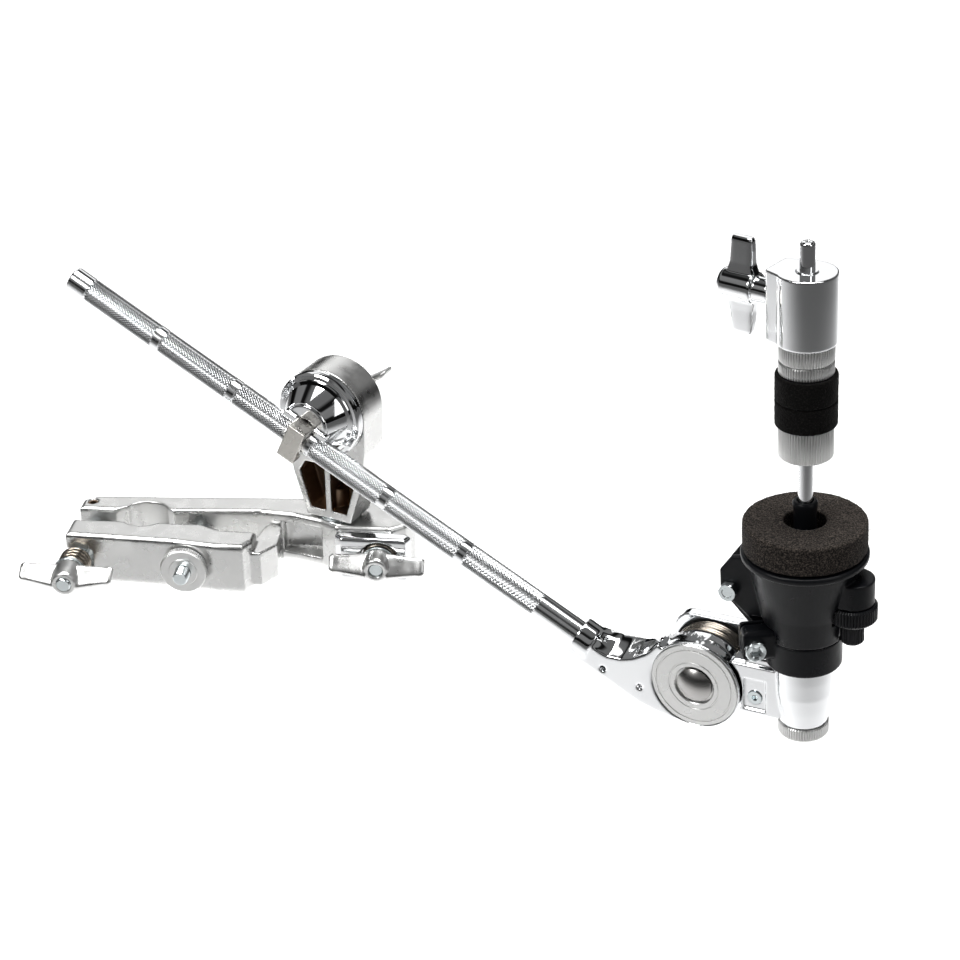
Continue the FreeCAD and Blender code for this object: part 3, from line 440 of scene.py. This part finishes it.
def knurl(low, high):
    """Pyramids on a tube: a grid whose points are crest and root by turns."""
    mesh = bmesh.new()
    columns = 2 * DIAMONDS_AROUND
    rows = 2 * int(round((high - low) / DIAMOND_LENGTH))
    grid = []
    for i in range(rows + 1):
        along = low + (high - low) * i / rows
        ring = []
        for j in range(columns):
            crest = (i + j) % 2 == 0 and 0 < i < rows
            radius = BOOM_RADIUS if crest else BOOM_RADIUS - KNURL_DEPTH
            angle = 2 * math.pi * j / columns
            ring.append(mesh.verts.new((along, radius * math.cos(angle), radius * math.sin(angle))))
        grid.append(ring)
    for i in range(rows):
        for j in range(columns):
            k = (j + 1) % columns
            a, b, c, d = grid[i][j], grid[i][k], grid[i + 1][k], grid[i + 1][j]
            halves = ((a, b, d), (b, c, d)) if (i + j) % 2 == 0 else ((a, b, c), (a, c, d))
            for half in halves:
                mesh.faces.new(half)
    mesh.faces.new(grid[0][::-1])
    mesh.faces.new(grid[-1])
    return mesh


def boom():
    """Knurled lengths with smooth bands between them, and a plain stretch at each end."""
    left, right = BOOM_ENDS
    edges = [KNURL_ENDS[0]]
    for k in range(BAND_COUNT):
        middle = BAND_FIRST + BAND_STEP * k
        edges += [middle - BAND_WIDTH / 2, middle + BAND_WIDTH / 2]
    edges.append(KNURL_ENDS[1])
    shells = [knurl(low, high) for low, high in zip(edges[::2], edges[1::2])]
    smooth = [(left, edges[0])] + list(zip(edges[1::2], edges[2::2])) + [(edges[-1], right)]
    for low, high in smooth:
        bevel = FREE_END_BEVEL if low == left else BAND_BEVEL
        profile = [
            (BOOM_RADIUS - bevel, low),
            (BOOM_RADIUS - bevel * 0.3, low + bevel * 0.3),
            (BOOM_RADIUS, low + bevel),
            (BOOM_RADIUS, high - BAND_BEVEL),
            (BOOM_RADIUS - BAND_BEVEL, high),
        ]
        shells.append(placed(lathe(profile, 96, closed=False), ALONG_X))
    made("knurled_boom", joined(*shells), BOOM, "knurled_boom", ("boom_tube",), sharp=20)


boom()


# ---------------------------------------------------------------- springs

def spring(name, node, place, mean_radius, wire, length, turns, start=0.0):
    wound = coil(mean_radius, wire, length, turns, start)
    made(name, wound, place, "spring_steel", (node,), sharp=60)


SWING_BOLT_X = -30.4    # the clamp's three bolts, from the stand tube's axis
STUD_X = 27.5
SHORT_BOLT_X = 125.5
spring("left_spring", "left_clamp_spring", at(CLAMP, SWING_BOLT_X, -38.4) @ ALONG_Y,
       mean_radius=7.2, wire=0.95, length=11.4, turns=4.5)
spring("right_spring", "right_clamp_spring", at(CLAMP, SHORT_BOLT_X, -12.5) @ ALONG_Y,
       mean_radius=8.2, wire=0.9, length=4.6, turns=2.4)
spring("tilter_coils", "tilter_spring", at(ROD, -50.6, 2.8, -94.1) @ ALONG_Y,
       mean_radius=20.2, wire=1.0, length=5.2, turns=2.5, start=200)


# ---------------------------------------------------------------- turned nuts

def fluted(outside, bore, low, high, flutes, bevel=0.6, depth=0.55):
    """A nut with straight grooves round it, between plain bevelled rims."""
    per_flute = 3
    steps = flutes * per_flute

    def ripple(i, radius, height):
        on_rim = radius > outside - 0.01
        grooved = low + bevel - 0.01 < height < high - bevel + 0.01 and on_rim
        return radius - depth if grooved and i % per_flute == 0 else radius

    profile = [
        (bore, low), (outside - bevel, low), (outside, low + bevel),
        (outside, high - bevel), (outside - bevel, high), (bore, high),
    ]
    return lathe(profile, steps, ripple)


CENTRE = 0.01              # the radius of a lathe's closed middle
CLUTCH_NUT_RADIUS = 12.4
CLUTCH_NUT_BORE = 4.7
CLUTCH_NUT_SPANS = {"bottom": (33.1, 48.5), "upper": (73.5, 79.5), "lock": (79.7, 87.7)}
SEAT_SCREW_X = 23.3        # the seat's adjusting screw from the rod's axis

for label, (low, high) in CLUTCH_NUT_SPANS.items():
    nut = fluted(CLUTCH_NUT_RADIUS, CLUTCH_NUT_BORE, low, high, flutes=60)
    made("clutch_%s_ring" % label, nut, ROD, "satin_nut", ("clutch_%s_nut" % label,))

made("bottom_knob_ring", joined(
    fluted(12.0, 3.45, -113.0, -106.5, flutes=60, bevel=0.7),
    lathe([(CENTRE, -113.5), (9.6, -113.5), (10.2, -112.9), (CENTRE, -112.9)], 72)),
    ROD, "satin_nut", ("bottom_knob",))
made("seat_thumb_wheel", fluted(11.35, 2.95, -46.4, -37.9, flutes=48, bevel=0.9, depth=0.45),
     at(ROD, SEAT_SCREW_X), "black_plastic", ("seat_thumb_nut",))


def thumb_nut():
    """A knurled disc with a flat bevelled face and a collar behind it."""
    wheel = fluted(12.3, 4.1, -33.7, -29.1, flutes=64, bevel=0.8, depth=0.42)
    collar = lathe([(4.1, -29.3), (7.0, -29.3), (7.0, -28.6), (6.7, -28.3), (4.1, -28.3)], 72)
    ring = lathe([(4.4, -34.0), (7.2, -34.0), (7.6, -33.6), (4.4, -33.6)], 72)
    made("stud_thumb_nut", joined(wheel, collar, ring), at(CLAMP, STUD_X) @ ALONG_Y,
         "satin_nut", ("fulcrum_thumb_nut",))


thumb_nut()


# ---------------------------------------------------------------- bolts and rod

BOLT_STEPS = 48          # sides of a turned bolt
CLAMP_BOLT = 4.0         # radius of the clamp's bolts
THREAD_LENGTH = 20.0
THREAD_OVERLAP = 0.5     # of the threaded end over the plain shank
EASE = 0.05              # a shank or pin is this much thinner than its hole
SWING_PIN_Y = 10.3       # the swing bolt's pin, behind the stand tube's axis


def six_sided(*radii):
    """A ripple that makes the rings of these radii hexagonal."""
    step = 360 / BOLT_STEPS

    def ripple(i, radius, height):
        if radius not in radii:
            return radius
        return radius * math.cos(math.radians(30)) / math.cos(math.radians(step * i % 60 - 30))

    return ripple


def bolt_end(name, node, place, start, end, *head):
    """A plain shank with a threaded end that points along the place's z."""
    thread_start = end - THREAD_LENGTH - THREAD_OVERLAP
    radius = CLAMP_BOLT - EASE
    shank = lathe([(radius, start), (radius, end - THREAD_LENGTH)], BOLT_STEPS, closed=False)
    shells = [shank, threaded(CLAMP_BOLT, thread_start, end), *head]
    made(name, joined(*shells), place, "zinc_bolt", (node,))


def clamp_bolts():
    """The fulcrum's stud, the short jaw's round-headed bolt and the swing bolt with its eye."""
    towards_viewer = CLAMP @ TOWARDS_VIEWER
    round_head = lathe(
        [(7.0, -26.2), (7.0, -29.4), (5.4, -30.7), (CENTRE, -30.7), (CENTRE, -26.2)], BOLT_STEPS)
    eye = lathe([(2.55, -3.8), (4.9, -3.8), (4.9, 3.8), (2.55, 3.8)], BOLT_STEPS)
    eye = placed(eye, Matrix.Translation((0, 0, -SWING_PIN_Y)) @ TOWARDS_VIEWER)
    bolt_end("stud_thread", "fulcrum_stud", at(towards_viewer, STUD_X), -16.4, 41.0)
    bolt_end("short_bolt_thread", "short_jaw_bolt", at(towards_viewer, SHORT_BOLT_X),
             -26.0, 22.4, round_head)
    bolt_end("swing_bolt_thread", "swing_bolt", at(towards_viewer, SWING_BOLT_X), -4.0, 53.0, eye)


clamp_bolts()


def roll_pin(name, node, place, radius, low, high):
    """A hollow spring pin, dark inside."""
    inner = radius - radius * 0.32
    outer = radius - EASE
    tube = lathe([(inner, low), (outer, low), (outer, high), (inner, high)], 32)
    # The pin takes the same dark brown metal that is painted into the post's pockets as reflection
    # and shade.
    made(name, tube, place, "brown_pins_and_painted_pocket_reflection", (node,))


roll_pin("arm_pin", "socket_pin", at(BOOM, 191.1, 0, -3.7) @ ALONG_Y, radius=1.5, low=-7.0, high=6.8)
roll_pin("swing_pin", "swing_bolt_pin", at(CLAMP, SWING_BOLT_X, SWING_PIN_Y),
         radius=2.5, low=-13.5, high=13.2)


def seat_screws():
    """The socket screw of the seat's collar, the hexagon bolt of its pivot, and its knob."""
    lug = turned(ROD, 32, "Z")
    head = [(5.0, 0.0), (5.0, 3.1), (4.5, 3.6), (3.0, 3.6), (2.6, 3.2), (2.6, 1.2)]
    made("collar_screw", joined(
        lathe(head, BOLT_STEPS, six_sided(2.6), closed=False),
        lathe([(2.95, -13.2), (2.95, 0.1)], BOLT_STEPS, closed=False)),
        at(lug, -24.5, -9.1, -60.5) @ TOWARDS_VIEWER, "zinc_bolt", ("seat_clamp_screw",))
    head = [(4.8, 0.0), (4.8, 2.7), (4.1, 3.4), (2.6, 3.4), (2.3, 3.0), (CENTRE, 3.0)]
    made("pivot_bolt", joined(
        lathe(head, BOLT_STEPS, six_sided(4.8), closed=False),
        lathe([(2.45, -20.6), (2.45, 0.1)], BOLT_STEPS, closed=False)),
        at(ROD, -33.5, -8.8, -39.5) @ TOWARDS_VIEWER, "zinc_bolt", ("seat_pivot_bolt",))
    made("seat_knob", joined(
        fluted(5.5, CENTRE, -58.6, -46.9, flutes=18, bevel=0.9, depth=0.4),
        lathe([(2.85, -47.4), (2.85, -21.0)], 32, closed=False)),
        at(ROD, SEAT_SCREW_X), "black_plastic", ("seat_adjust_screw",))


seat_screws()


def sleeve():
    """The plastic sleeve round the rod, with a foot and a slightly wider lip."""
    profile = [
        (3.45, -47.7), (9.0, -47.7), (9.0, -45.0), (8.7, -44.7), (5.3, -44.7), (5.3, 4.0),
        (5.7, 7.4), (5.7, 9.3), (5.1, 10.0), (4.1, 10.0), (3.45, 9.2),
    ]
    made("sleeve_moulding", lathe(profile, 64), ROD, "black_plastic", ("cymbal_sleeve",), sharp=50)


sleeve()


def tilter_cover():
    """The satin disc with its rings, and the bolt with a dark dome in a narrow gap."""
    disc = [
        (5.05, 6.0), (22.1, 6.0), (22.1, 7.3), (21.6, 7.8), (19.9, 7.8), (19.7, 7.4), (19.0, 7.4),
        (18.8, 7.8), (13.2, 7.8), (13.0, 7.55), (12.4, 7.55), (12.2, 7.8), (10.3, 7.8), (9.8, 7.4),
        (9.8, 6.5), (5.05, 6.5),
    ]
    made("tilter_cover", lathe(disc, 128), HINGE @ TOWARDS_VIEWER, "satin_disc",
         ("tilter_disc",), sharp=25)
    dome_radius = 8.84
    dome_curve = 13.5
    dome_steps = 12
    dome = [(4.9, -7.2), (dome_radius, -7.2), (dome_radius, -7.8)]
    for i in range(1, dome_steps):
        radius = dome_radius * math.cos(math.radians(90 * i / dome_steps))
        dome.append((radius, 2.4 - math.sqrt(dome_curve ** 2 - radius ** 2)))
    dome.append((CENTRE, -11.1))
    head = lathe(dome, 96, closed=False)
    shank = lathe([(4.9, -7.4), (4.9, 20.0)], BOLT_STEPS, closed=False)
    made("tilter_bolt_turned", joined(head, shank, threaded(5.0, 19.5, 37.8, pitch=1.5)),
         HINGE @ ALONG_Y, "dark_dome", ("tilter_bolt",), sharp=40)


tilter_cover()


def rod():
    """The hi-hat rod, with a rounded tip that has a centre mark."""
    radius = 3.4
    foot = -109.2
    tip = 134.5
    rounding = 1.5
    profile = [(CENTRE, foot), (radius, foot), (radius, tip - rounding)]
    for i in range(1, 7):
        angle = math.radians(90 * i / 7)
        height = tip - rounding + rounding * math.sin(angle)
        profile.append((radius - 1.6 * (1 - math.cos(angle)), height))
    profile += [(1.1, tip), (0.7, tip - 0.6), (CENTRE, tip - 1.1)]
    made("hihat_rod_turned", lathe(profile, 64), ROD, "polished_chrome", ("hihat_rod",), sharp=40)


rod()


# ---------------------------------------------------------------- wing nuts

HUB_RADIUS = 8.0
HUB_BORE = 3.9
WING_ROOT = (7.6, 3.4)    # half width and half thickness
WING_TIP = (4.9, 1.9)


def wing(angle, reach, middle, lean):
    """One blade in the plane across z, whose middle is at a height on the nut. Its width leans
    back by an angle from the nut's axis, so that its face shows from the end."""
    out = Vector((math.cos(math.radians(angle)), math.sin(math.radians(angle)), 0))
    wide = Vector((0, -math.sin(math.radians(lean)), math.cos(math.radians(lean))))
    thin = Vector((0, wide.z, -wide.y))
    sections = []
    for share in (0.22, 0.4, 0.6, 0.8, 0.93, 1.0):
        eased = min(1.0, share * 1.25) ** 0.8
        half_wide = WING_ROOT[0] + (WING_TIP[0] - WING_ROOT[0]) * eased
        half_thin = WING_ROOT[1] + (WING_TIP[1] - WING_ROOT[1]) * eased
        if share == 1.0:
            half_wide *= 0.8
            half_thin *= 0.7
        centre = out * reach * share + UP * middle
        sections.append(oval(centre, thin, wide, half_thin, half_wide, power=4.0))
    return loft(sections)


def wing_nut(name, node, place, length, angles, reach, middle, lean):
    """A cast wing nut along z, melted to one skin."""
    profile = [
        (HUB_BORE, 0), (HUB_RADIUS, 0), (HUB_RADIUS, 1.2), (HUB_RADIUS * 0.84, length - 1.4),
        (HUB_RADIUS * 0.74, length), (HUB_BORE, length),
    ]
    shells = [lathe(profile, 64)]
    for angle in angles:
        shells.append(wing(angle, reach, middle, lean))
    skin = settled(joined(*shells), voxel=0.4, rounds=4)
    made(name, skin, place, "cast_alloy", (node,), sharp=60)


wing_nut("left_wings", "left_wing_nut", at(CLAMP, SWING_BOLT_X, -39.9) @ TOWARDS_VIEWER,
         length=12.0, angles=(7, 173), reach=24.3, middle=5.8, lean=38)
wing_nut("right_wings", "right_wing_nut", at(CLAMP, SHORT_BOLT_X, -13.9) @ TOWARDS_VIEWER,
         length=9.5, angles=(2, 178), reach=24.8, middle=4.6, lean=50)
wing_nut("rear_wings", "rear_wing_nut", at(CONE, 0, 59.4) @ ALONG_Y,
         length=12.0, angles=(-35, 145), reach=26.8, middle=5.8, lean=0)


def clutch_wings():
    """The clutch's wing screw: a neck, a barrel and two flat blades, upright at rest."""
    neck = [(CENTRE, 17.0), (5.2, 17.0), (5.8, 18.0), (5.8, 26.5), (CENTRE, 26.5)]
    barrel = [
        (CENTRE, 25.6), (6.9, 25.6), (7.4, 26.4), (7.2, 41.4), (6.2, 43.2), (CENTRE, 43.5),
    ]
    shells = [lathe(neck, 64), lathe(barrel, 64)]
    # Each row is a blade's height, its middle along the screw, its half width and half thickness.
    upper = [
        (0.0, 33.0, 8.2, 3.6), (6.0, 33.0, 7.6, 3.4), (11.0, 33.0, 6.0, 2.9),
        (17.0, 32.8, 5.8, 2.5), (21.5, 32.8, 5.6, 2.2), (23.2, 32.8, 5.0, 1.6),
    ]
    lower = [
        (0.0, 33.0, 8.2, 3.6), (-6.0, 33.0, 7.6, 3.4), (-11.0, 33.0, 6.2, 2.9),
        (-17.0, 32.8, 5.6, 2.5), (-21.0, 32.9, 5.0, 2.2), (-22.6, 32.9, 4.2, 1.6),
    ]
    for blade in (upper, lower):
        sections = []
        for height, middle, half_width, half_thick in blade:
            centre = (height, 0, middle)
            sections.append(oval(centre, BACK, UP, half_thick, half_width, power=5.0))
        shells.append(loft(sections))
    skin = settled(joined(*shells), voxel=0.32, rounds=6)
    screw_height = 107.0
    place = turned(turned(at(ROD, z=screw_height), -12, "Z"), -90, "Y")
    made("clutch_wings", skin, place, "polished_chrome", ("clutch_wing_screw",), sharp=60)


clutch_wings()


# ---------------------------------------------------------------- felts

WOOL_STEP = 0.9           # size of a felt's faces
FIBRE_RADIUS = 0.045


def wool_profile(outside, inside, low, high, edge):
    """A ring's outline with rounded outer edges, cut into steps."""
    rounded = outside - 0.2
    corners = [
        (inside, low), (outside - edge, low), (rounded, low + edge * 0.4), (outside, low + edge),
        (outside, high - edge), (rounded, high - edge * 0.4), (outside - edge, high), (inside, high),
    ]
    profile = []
    for start, end in zip(corners, corners[1:] + corners[:1]):
        count = max(2, int(math.dist(start, end) / WOOL_STEP))
        for i in range(count):
            t = i / count
            radius = start[0] + (end[0] - start[0]) * t
            profile.append((radius, start[1] + (end[1] - start[1]) * t))
    return profile


def wool(name, node, look, outside, inside, low, high, edge, roughness, hairs):
    """A felt ring with an uneven skin and loose fibres."""
    steps = int(2 * math.pi * outside / WOOL_STEP)
    mesh = lathe(wool_profile(outside, inside, low, high, edge), steps)
    bmesh.ops.recalc_face_normals(mesh, faces=mesh.faces)
    mesh.normal_update()
    for vertex in mesh.verts:
        rough = noise.noise(vertex.co * 0.9) * 0.6 + noise.noise(vertex.co * 2.6) * 0.4
        broad = noise.noise(vertex.co * 0.12)
        vertex.co += vertex.normal * (roughness * (rough - 0.4) + 0.25 * roughness * broad)
    shells = [mesh]
    for _ in range(hairs):
        angle = rng.uniform(0, 2 * math.pi)
        on_top = rng.random() < 0.45
        radius = rng.uniform(inside + 1, outside - 1) if on_top else outside - 0.25
        height = high - 0.15 if on_top else rng.uniform(low + 1, high - 0.5)
        start = Vector((radius * math.cos(angle), radius * math.sin(angle), height))
        outward = UP if on_top else Vector((math.cos(angle), math.sin(angle), 0))
        drift = Vector((rng.gauss(0, 1), rng.gauss(0, 1), rng.gauss(0, 1))).normalized()
        length = rng.uniform(1.2, 3.2)
        points = []
        for t in (0, 0.35, 0.7, 1):
            points.append(start + drift * length * t + outward * 0.35 * math.sin(math.pi * t))
        shells.append(wire_along(points, FIBRE_RADIUS, 3))
    piece = made(name, joined(*shells), ROD, look, (node,), sharp=180)


wool("seat_wool", "seat_felt", "seat_felt", outside=28.5, inside=9.8, low=-14.2, high=0.0,
     edge=1.3, roughness=0.32, hairs=500)
for name, node, low, high in (("clutch_wool_low", "clutch_lower_felt", 48.7, 60.9),
                              ("clutch_wool_high", "clutch_upper_felt", 61.0, 73.3)):
    wool(name, node, "clutch_felt", outside=14.1, inside=4.8, low=low, high=high,
         edge=0.5, roughness=0.28, hairs=140)


# ---------------------------------------------------------------- castings

def casting(name, node, place, look, voxel, rounds, *extra):
    """A CAD shape with the soft corners of a casting, and any shells added to it."""
    skin = settled(from_cad(node, place), voxel, rounds)
    return made(name, joined(skin, *extra), place, look, (node,), sharp=60)


def clamp_cone():
    """The turned flange and cone, with the saddle behind the tube."""
    saddle_end = 25.5
    saddle = from_cad("boom_clamp_cone", CONE)
    bmesh.ops.bisect_plane(
        saddle, geom=saddle.verts[:] + saddle.edges[:] + saddle.faces[:],
        plane_co=(0, saddle_end, 0), plane_no=BACK, clear_outer=True)
    bmesh.ops.holes_fill(saddle, edges=saddle.edges[:])
    turned_part = lathe([
        (4.4, 20.0), (12.4, 20.0), (13.0, 20.6), (18.4, 29.4), (20.2, 30.0), (20.6, 30.6),
        (20.6, 31.2), (22.4, 31.4), (23.3, 32.1), (23.5, 33.0), (23.5, 33.7), (22.9, 33.9),
        (22.9, 34.4), (23.5, 34.6), (23.5, 35.9), (4.4, 35.9),
    ], 128)
    skin = settled(saddle, voxel=0.4, rounds=4)
    made("cone_turned", joined(skin, placed(turned_part, ALONG_Y)), CONE, "polished_chrome",
         ("boom_clamp_cone",), sharp=25)


def tilter_teeth():
    """The ring of locking teeth behind the tilter's disc, in the boom's frame."""
    count = 44
    steps_per_tooth = 4
    outside = 23.1
    inside = 20.0
    depth = 0.9

    def ripple(i, radius, height):
        return radius - depth if radius == outside and i % steps_per_tooth > 1 else radius

    profile = [(inside, -2.2), (outside, -2.2), (outside, -0.35), (inside, -0.35)]
    teeth = lathe(profile, steps_per_tooth * count, ripple)
    return placed(teeth, Matrix.Translation((232.7, 0, 20.7)) @ ALONG_Y)


def painted(piece, place, look, inside):
    """Give a second look to the faces whose middle, in local millimetres, is inside."""
    piece.data.materials.append(LOOKS[look])
    back = place.inverted()
    for face in piece.data.polygons:
        if inside(back @ face.center):
            face.material_index = 1


def in_pocket(point):
    """Inside one of the post's two pockets, in the clamp cone's frame, where dark brown is painted
    in as reflection and shade.
    """
    side = 11.8 + (point.z + 57.5) * 0.29
    return 38.0 < point.y < 51.0 and -58.6 < point.z < -29.5 and abs(point.x) < side


casting("rear_jaw_cast", "rear_jaw", CLAMP, "cast_alloy", 0.6, 5)
casting("front_jaw_cast", "front_jaw", CLAMP, "cast_alloy", 0.6, 5)
casting("short_jaw_cast", "short_jaw", CLAMP, "polished_chrome", 0.4, 4)
post_cast = casting("post_cast", "post", CONE, "cast_alloy", 0.42, 4)
# The pockets' faces get painted reflection and shade: dark brown in place of the mirrored light and
# shade inside them.
painted(post_cast, CONE, "brown_pins_and_painted_pocket_reflection", in_pocket)
clamp_cone()
casting("arm_cast", "tilter_arm", BOOM, "polished_chrome", 0.4, 30, tilter_teeth())
casting("bracket_cast", "tilter_bracket", ROD, "polished_chrome", 0.4, 4)
casting("cup_moulding", "seat_cup", ROD, "black_plastic", 0.45, 3)
casting("collar_moulding", "seat_collar", ROD, "black_plastic", 0.4, 3)
casting("clutch_block", "clutch_body", ROD, "polished_chrome", 0.35, 8)
casting("hook_strap", "hook_bolt", BOOM, "nickel_strap", 0.3, 3)


# ---------------------------------------------------------------- stage, light and camera

FLOOR_DROP = 0.30      # the floor below the object's lowest point, in metres
FLOOR_SIZE = 60
CAMERA_PLACE = (0.6493, -0.8376, 0.6046)
CAMERA_AZIMUTH = 28.234
CAMERA_ELEVATION = 28.755
CAMERA_ROLL = -0.807
LENS = 86.0
WORLD_STRENGTH = 0.2


def stage():
    """A plain pale floor, wide enough to keep its edge out of view."""
    bpy.ops.mesh.primitive_plane_add(size=FLOOR_SIZE, location=(0.15, 0, cad_low.z - FLOOR_DROP))
    floor = bpy.context.object
    floor.name = "floor"
    floor.data.materials.append(shader("floor_white", (0.93, 0.93, 0.93), 0.8)[0])


def world():
    """A dim studio for the polished metal to mirror: dark low down, pale higher up, then a dark
    band, and pale again overhead."""
    sky = bpy.data.worlds.new("studio")
    bpy.context.scene.world = sky
    sky.use_nodes = True
    tree = sky.node_tree
    place = tree.nodes.new("ShaderNodeTexCoord")
    parts = tree.nodes.new("ShaderNodeSeparateXYZ")
    tree.links.new(place.outputs["Generated"], parts.inputs["Vector"])
    ramp = tree.nodes.new("ShaderNodeValToRGB")
    stops = [
        (0.0, 0.02), (0.22, 0.02), (0.30, 0.9), (0.62, 1.0), (0.68, 0.03), (0.78, 0.03), (0.86, 0.7),
    ]
    while len(ramp.color_ramp.elements) < len(stops):
        ramp.color_ramp.elements.new(0.5)
    for element, (position, level) in zip(ramp.color_ramp.elements, stops):
        element.position = position
        element.color = (level, level, level, 1)
    tree.links.new(parts.outputs["Z"], ramp.inputs["Fac"])
    tree.links.new(ramp.outputs["Color"], tree.nodes["Background"].inputs["Color"])
    tree.nodes["Background"].inputs["Strength"].default_value = WORLD_STRENGTH


def softbox(name, place, target, size, watts, spread_angle, turn=0.0):
    """A rectangular light at a place, aimed at a target and turned about its own axis."""
    light = bpy.data.lights.new(name, "AREA")
    light.spread = math.radians(spread_angle)
    light.shape = "RECTANGLE"
    light.size, light.size_y = size
    light.energy = watts
    lamp = bpy.data.objects.new(name, light)
    lamp.location = place
    aim = (Vector(target) - Vector(place)).to_track_quat("-Z", "Y").to_matrix()
    lamp.rotation_euler = (aim @ Matrix.Rotation(math.radians(turn), 3, "Z")).to_euler()
    bpy.context.scene.collection.objects.link(lamp)


def camera():
    """The photograph's viewpoint."""
    lens = bpy.data.cameras.new("camera")
    lens.lens = LENS
    view = bpy.data.objects.new("camera", lens)
    azimuth = math.radians(CAMERA_AZIMUTH)
    elevation = math.radians(CAMERA_ELEVATION)
    level = math.cos(elevation)
    ahead = Vector((-math.sin(azimuth) * level, math.cos(azimuth) * level, -math.sin(elevation)))
    roll = Matrix.Rotation(math.radians(CAMERA_ROLL), 4, "Z")
    turn = ahead.to_track_quat("-Z", "Y").to_matrix().to_4x4()
    view.matrix_world = Matrix.Translation(CAMERA_PLACE) @ turn @ roll
    lens.clip_start = 0.05
    bpy.context.scene.collection.objects.link(view)
    bpy.context.scene.camera = view


stage()
world()
# The backdrop's light hangs over the floor behind the object, so that the floor in front of
# it stays dim and gives the polished metal something dark to mirror.
softbox("backdrop", (-0.40, 1.15, 2.0), (-0.40, 1.15, 0.0), size=(1.9, 3.0), watts=27,
        spread_angle=50, turn=CAMERA_AZIMUTH)
softbox("back", (-0.76, 1.70, 1.06), (0.15, 0, 0.0), size=(1.4, 0.8), watts=1.6, spread_angle=120)
softbox("key", (-0.5, -1.2, 1.4), (0.15, -0.15, -0.1), size=(0.8, 0.6), watts=2.3, spread_angle=60)
softbox("side", (1.5, -0.3, 0.9), (0.25, 0, 0.05), size=(0.4, 1.2), watts=0.8, spread_angle=90)
bpy.context.scene.view_settings.view_transform = "Standard"
camera()
